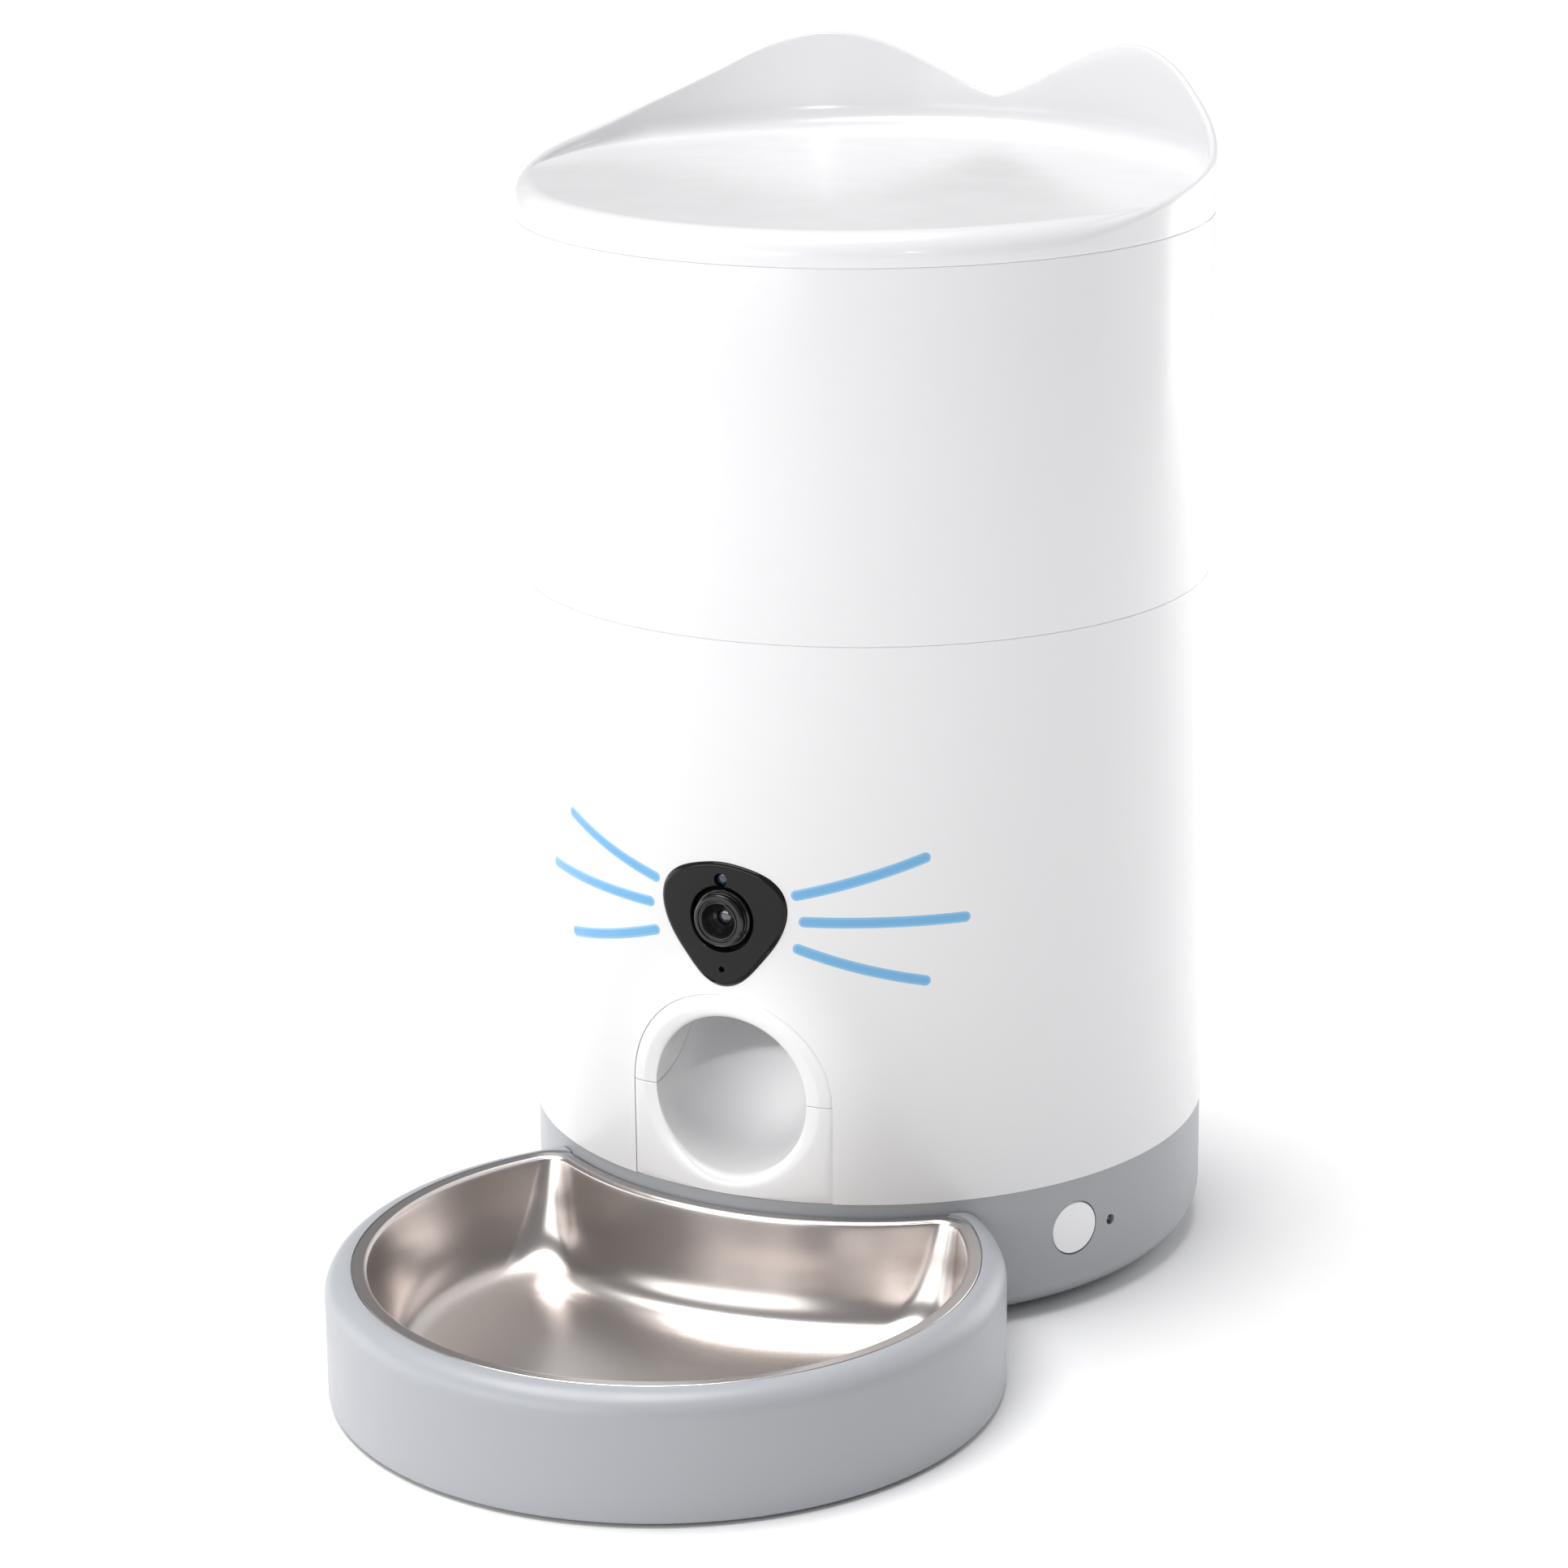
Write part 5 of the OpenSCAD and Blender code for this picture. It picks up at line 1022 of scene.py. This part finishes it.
def make_bowl():
    """Pressed steel bowl, lofted from its rolled edge to its floor and back along its underside."""
    sections = bowl_sections()
    top = [[(x, y, z) for x, y in crescent(BOWL_R - inset, REAR_R + inset, corner)]
           for inset, z, corner in sections]
    under = []
    for k in range(len(sections) - 1, LIP_STEPS - 1, -1):
        inset, z, corner = sections[k]
        a, b = sections[k - 1], sections[min(len(sections) - 1, k + 1)]
        along = np.array([b[0] - a[0], b[1] - a[1]])
        along /= np.linalg.norm(along)
        shift, down = inset + along[1] * STEEL, z - along[0] * STEEL
        under.append([(x, y, down)
                      for x, y in crescent(BOWL_R - shift, REAR_R + shift, corner + inset - shift)])
    points = [p for loop in top + under for p in loop]
    columns = len(top[0])
    turn_over = len(top) * columns
    last = len(points) - columns
    faces = grid_faces(len(top), columns, False, True)
    faces += [tuple(turn_over + k for k in f) for f in grid_faces(len(under), columns, False, True)]
    faces.append(tuple(turn_over - columns + k for k in range(columns)))
    faces.append(tuple(turn_over + k for k in reversed(range(columns))))
    faces += [(last + k, last + (k + 1) % columns, (k + 1) % columns, k) for k in range(columns)]
    return new_piece("bowl_pressed", points, faces, sharp=40)


def holder_round(name, radius, low, high, edges, arc_steps, steps):
    """A round tub about the middle of the holder, with its lower and upper edge rounded."""
    outline = [(AXIS_R, low, 0), (radius, low, edges[0]), (radius, high, edges[1]), (AXIS_R, high, 0)]
    tub = lathe(name, rounded(outline, arc_steps), steps)
    tub.data.transform(Matrix.Translation((0, -HOLDER_Y * MM, 0)))
    return tub


def crescent_cutter(name, inset, low):
    """Cutter with the crescent of the bowl, from a height upwards."""
    return prism(name, crescent(BOWL_R - inset, REAR_R + inset, LIP_CORNER - inset, 2), low, ABOVE)


def make_holder():
    """Bowl holder: a hollow round tub, cut by tower and crescent pocket, and two hooks."""
    holder = holder_round("holder_tub", HOLDER_R, HOLDER_LOW, HOLDER_H,
                          (HOLDER_FOOT_EDGE, HOLDER_EDGE), 24, 360)
    cut(holder, [prism("tower", circle(DOCK_R, SHELL_STEPS), BELOW, ABOVE)])
    seat = crescent(BOWL_R + SEAT_GAP, DOCK_R - SEAT_REAR, LIP_CORNER + SEAT_GAP, 2)
    cut(holder, [prism("lip_seat", seat, HOLDER_H - STEEL, ABOVE)])
    cut(holder, [crescent_cutter("tray", TRAY_IN, TRAY_FLOOR)])
    hollow = holder_round("holder_hollow", HOLDER_R - WALL, HOLDER_LOW - OVERLAP, HOLDER_H - HOLDER_TOP,
                          (0, HOLDER_EDGE - WALL), 8, 240)
    cut(hollow, [prism("tower_wall", circle(DOCK_R + WALL, 360), BELOW, ABOVE)])
    cut(hollow, [crescent_cutter("tray_skin", TRAY_IN - TRAY_WALL, TRAY_FLOOR - TRAY_WALL)])
    cut(holder, [hollow])
    hooks = []
    for side in (-1, 1):
        hook = rounded([(x, y, HOOK_EDGE) for x, y in hook_outline(side)])
        hooks.append(prism("hook", hook, DOCK_R - HOOK_REACH, DOCK_R + OVERLAP, facing()))
    return joined("holder_tub", [holder, *hooks])


dress(make_lid(), "lid", "white_shell", "lid")
dress(make_tank(), "tank", "white_shell", "hopper")
dress(make_housing(), "base", "white_shell", "lower_housing")
dress(make_window(), "base", "window_black", "camera_window")
dress(make_barrel(), "base", "black_plastic", "lens_barrel")
dress(make_glass(), "base", "lens_glass", "lens_glass")
dress(make_sensor(), "base", "sensor_lens", "light_sensor")
dress(make_whiskers(), "base", "whisker_blue", "whisker_strips")
dress(make_chute("chute_upper", 0, pi), "base", "white_shell", "chute_hood")
dress(make_chute("chute_lower", pi, FULL), "base", "white_shell", "chute_panel")
dress(make_base(), "base", "grey_shell", "base_shell")
dress(make_button(), "feed_button", "button_white", "feed_button")
dress(make_light(), "base", "light_lens", "status_light")
dress(make_bowl(), "bowl", "bowl_steel", "steel_bowl")
dress(make_holder(), "holder", "grey_shell", "bowl_holder")

# Floor, light and camera. Places and sizes of lamps are in metres, their power is in watts
FLOOR_HALF = 9000
FLOOR_TILES = 36
SKY_COLOUR, SKY_STRENGTH = (0.985, 0.98, 1, 1), 0.28
SUN_STRENGTH, SUN_SPREAD = 3, 45
BEAM_BLEND = 0.6
PHOTO_SIDE = 1932
FOCAL_PIXELS = 5436.2
SENSOR_WIDTH = 36
CLIP_NEAR, CLIP_FAR = 0.05, 50
CAMERA_TURN = radians(24.1)
CAMERA_FAR, CAMERA_SIDE, CAMERA_UP = 1284.9, -4.3, 525.9
CAMERA_YAW, CAMERA_PITCH, CAMERA_ROLL = -0.0164, 0.2938, -0.0107


def make_floor():
    """Pale plain floor, far wider than the picture."""
    line = np.linspace(-FLOOR_HALF, FLOOR_HALF, FLOOR_TILES + 1)
    points = [(x, y, 0) for x in line for y in line]
    floor = new_piece("floor", points, grid_faces(len(line), len(line)))
    floor.data.materials.append(plastic("floor_white", (0.97, 0.97, 0.972), 0.6, 0.004, 300, 0.01))


def around(turn, reach, height):
    """A place at an angle to the right of the camera as seen from the tower, in metres."""
    angle = radians(turn) + CAMERA_TURN
    return Vector((reach * sin(angle), -reach * cos(angle), height))


def add_lamp(name, kind, place, target, power):
    """A lamp of a kind at a place, aimed at another."""
    lamp = bpy.data.lights.new(name, kind)
    lamp.energy = power
    stand = add_object(name, lamp)
    stand.location = place
    stand.rotation_euler = (Vector(target) - Vector(place)).to_track_quat("-Z", "Y").to_euler()
    return lamp


def softbox(name, place, target, width, height, power):
    """Rectangular soft lamp."""
    lamp = add_lamp(name, "AREA", place, target, power)
    lamp.shape = "RECTANGLE"
    lamp.size, lamp.size_y = width, height


def spot_light(name, place, target, radius, power, cone):
    """Narrow soft beam from a round lamp."""
    lamp = add_lamp(name, "SPOT", place, target, power)
    lamp.spot_size = radians(cone)
    lamp.spot_blend = BEAM_BLEND
    lamp.shadow_soft_size = radius


def make_light_room():
    """Bright world, an even far light, four softboxes and two narrow beams."""
    world = bpy.data.worlds.new("studio")
    world.use_nodes = True
    sky = world.node_tree.nodes["Background"].inputs
    sky["Color"].default_value = SKY_COLOUR
    sky["Strength"].default_value = SKY_STRENGTH
    scene = bpy.context.scene
    scene.world = world
    scene.view_settings.view_transform = "Standard"
    add_lamp("sky", "SUN", (-0.2, -0.05, 1), (0, 0, 0), SUN_STRENGTH).angle = radians(SUN_SPREAD)
    middle = (0, -0.03, 0.16)
    softbox("key", around(-45, 1.4, 0.5), (0, 0, 0.18), 1.3, 0.6, 6.5)
    softbox("side", around(-98, 1.3, 0.26), (0, 0, 0.2), 1.2, 0.5, 3.4)
    softbox("rim", around(127, 1.2, 0.4), middle, 0.7, 0.8, 4.9)
    softbox("fill", around(95, 1.3, 0.5), middle, 0.8, 0.9, 1)
    spot_light("chute_light", around(-24, 0.55, 0.33), (0.002, -0.092, 0.072), 0.025, 9, 5.6)
    spot_light("ear_light", around(15, 1.3, 0.75), around(-165, 0.085, 0.34), 0.05, 16, 5.2)


def make_camera():
    """Camera fitted to the photo."""
    data = bpy.data.cameras.new("camera")
    data.sensor_width = SENSOR_WIDTH
    data.lens = FOCAL_PIXELS / PHOTO_SIDE * SENSOR_WIDTH
    data.clip_start, data.clip_end = CLIP_NEAR, CLIP_FAR
    camera = add_object("camera", data)
    level = cos(CAMERA_PITCH)
    ahead = Vector((sin(CAMERA_YAW) * level, cos(CAMERA_YAW) * level, -sin(CAMERA_PITCH)))
    right = ahead.cross(Vector((0, 0, 1))).normalized()
    up = right.cross(ahead)
    tilted = right * cos(CAMERA_ROLL) + up * sin(CAMERA_ROLL)
    above = up * cos(CAMERA_ROLL) - right * sin(CAMERA_ROLL)
    aim = Matrix((tilted, above, -ahead)).transposed().to_4x4()
    place = Matrix.Translation(Vector((CAMERA_SIDE, -CAMERA_FAR, CAMERA_UP)) * MM)
    camera.matrix_world = Matrix.Rotation(CAMERA_TURN, 4, "Z") @ place @ aim
    bpy.context.scene.camera = camera


make_floor()
make_light_room()
make_camera()
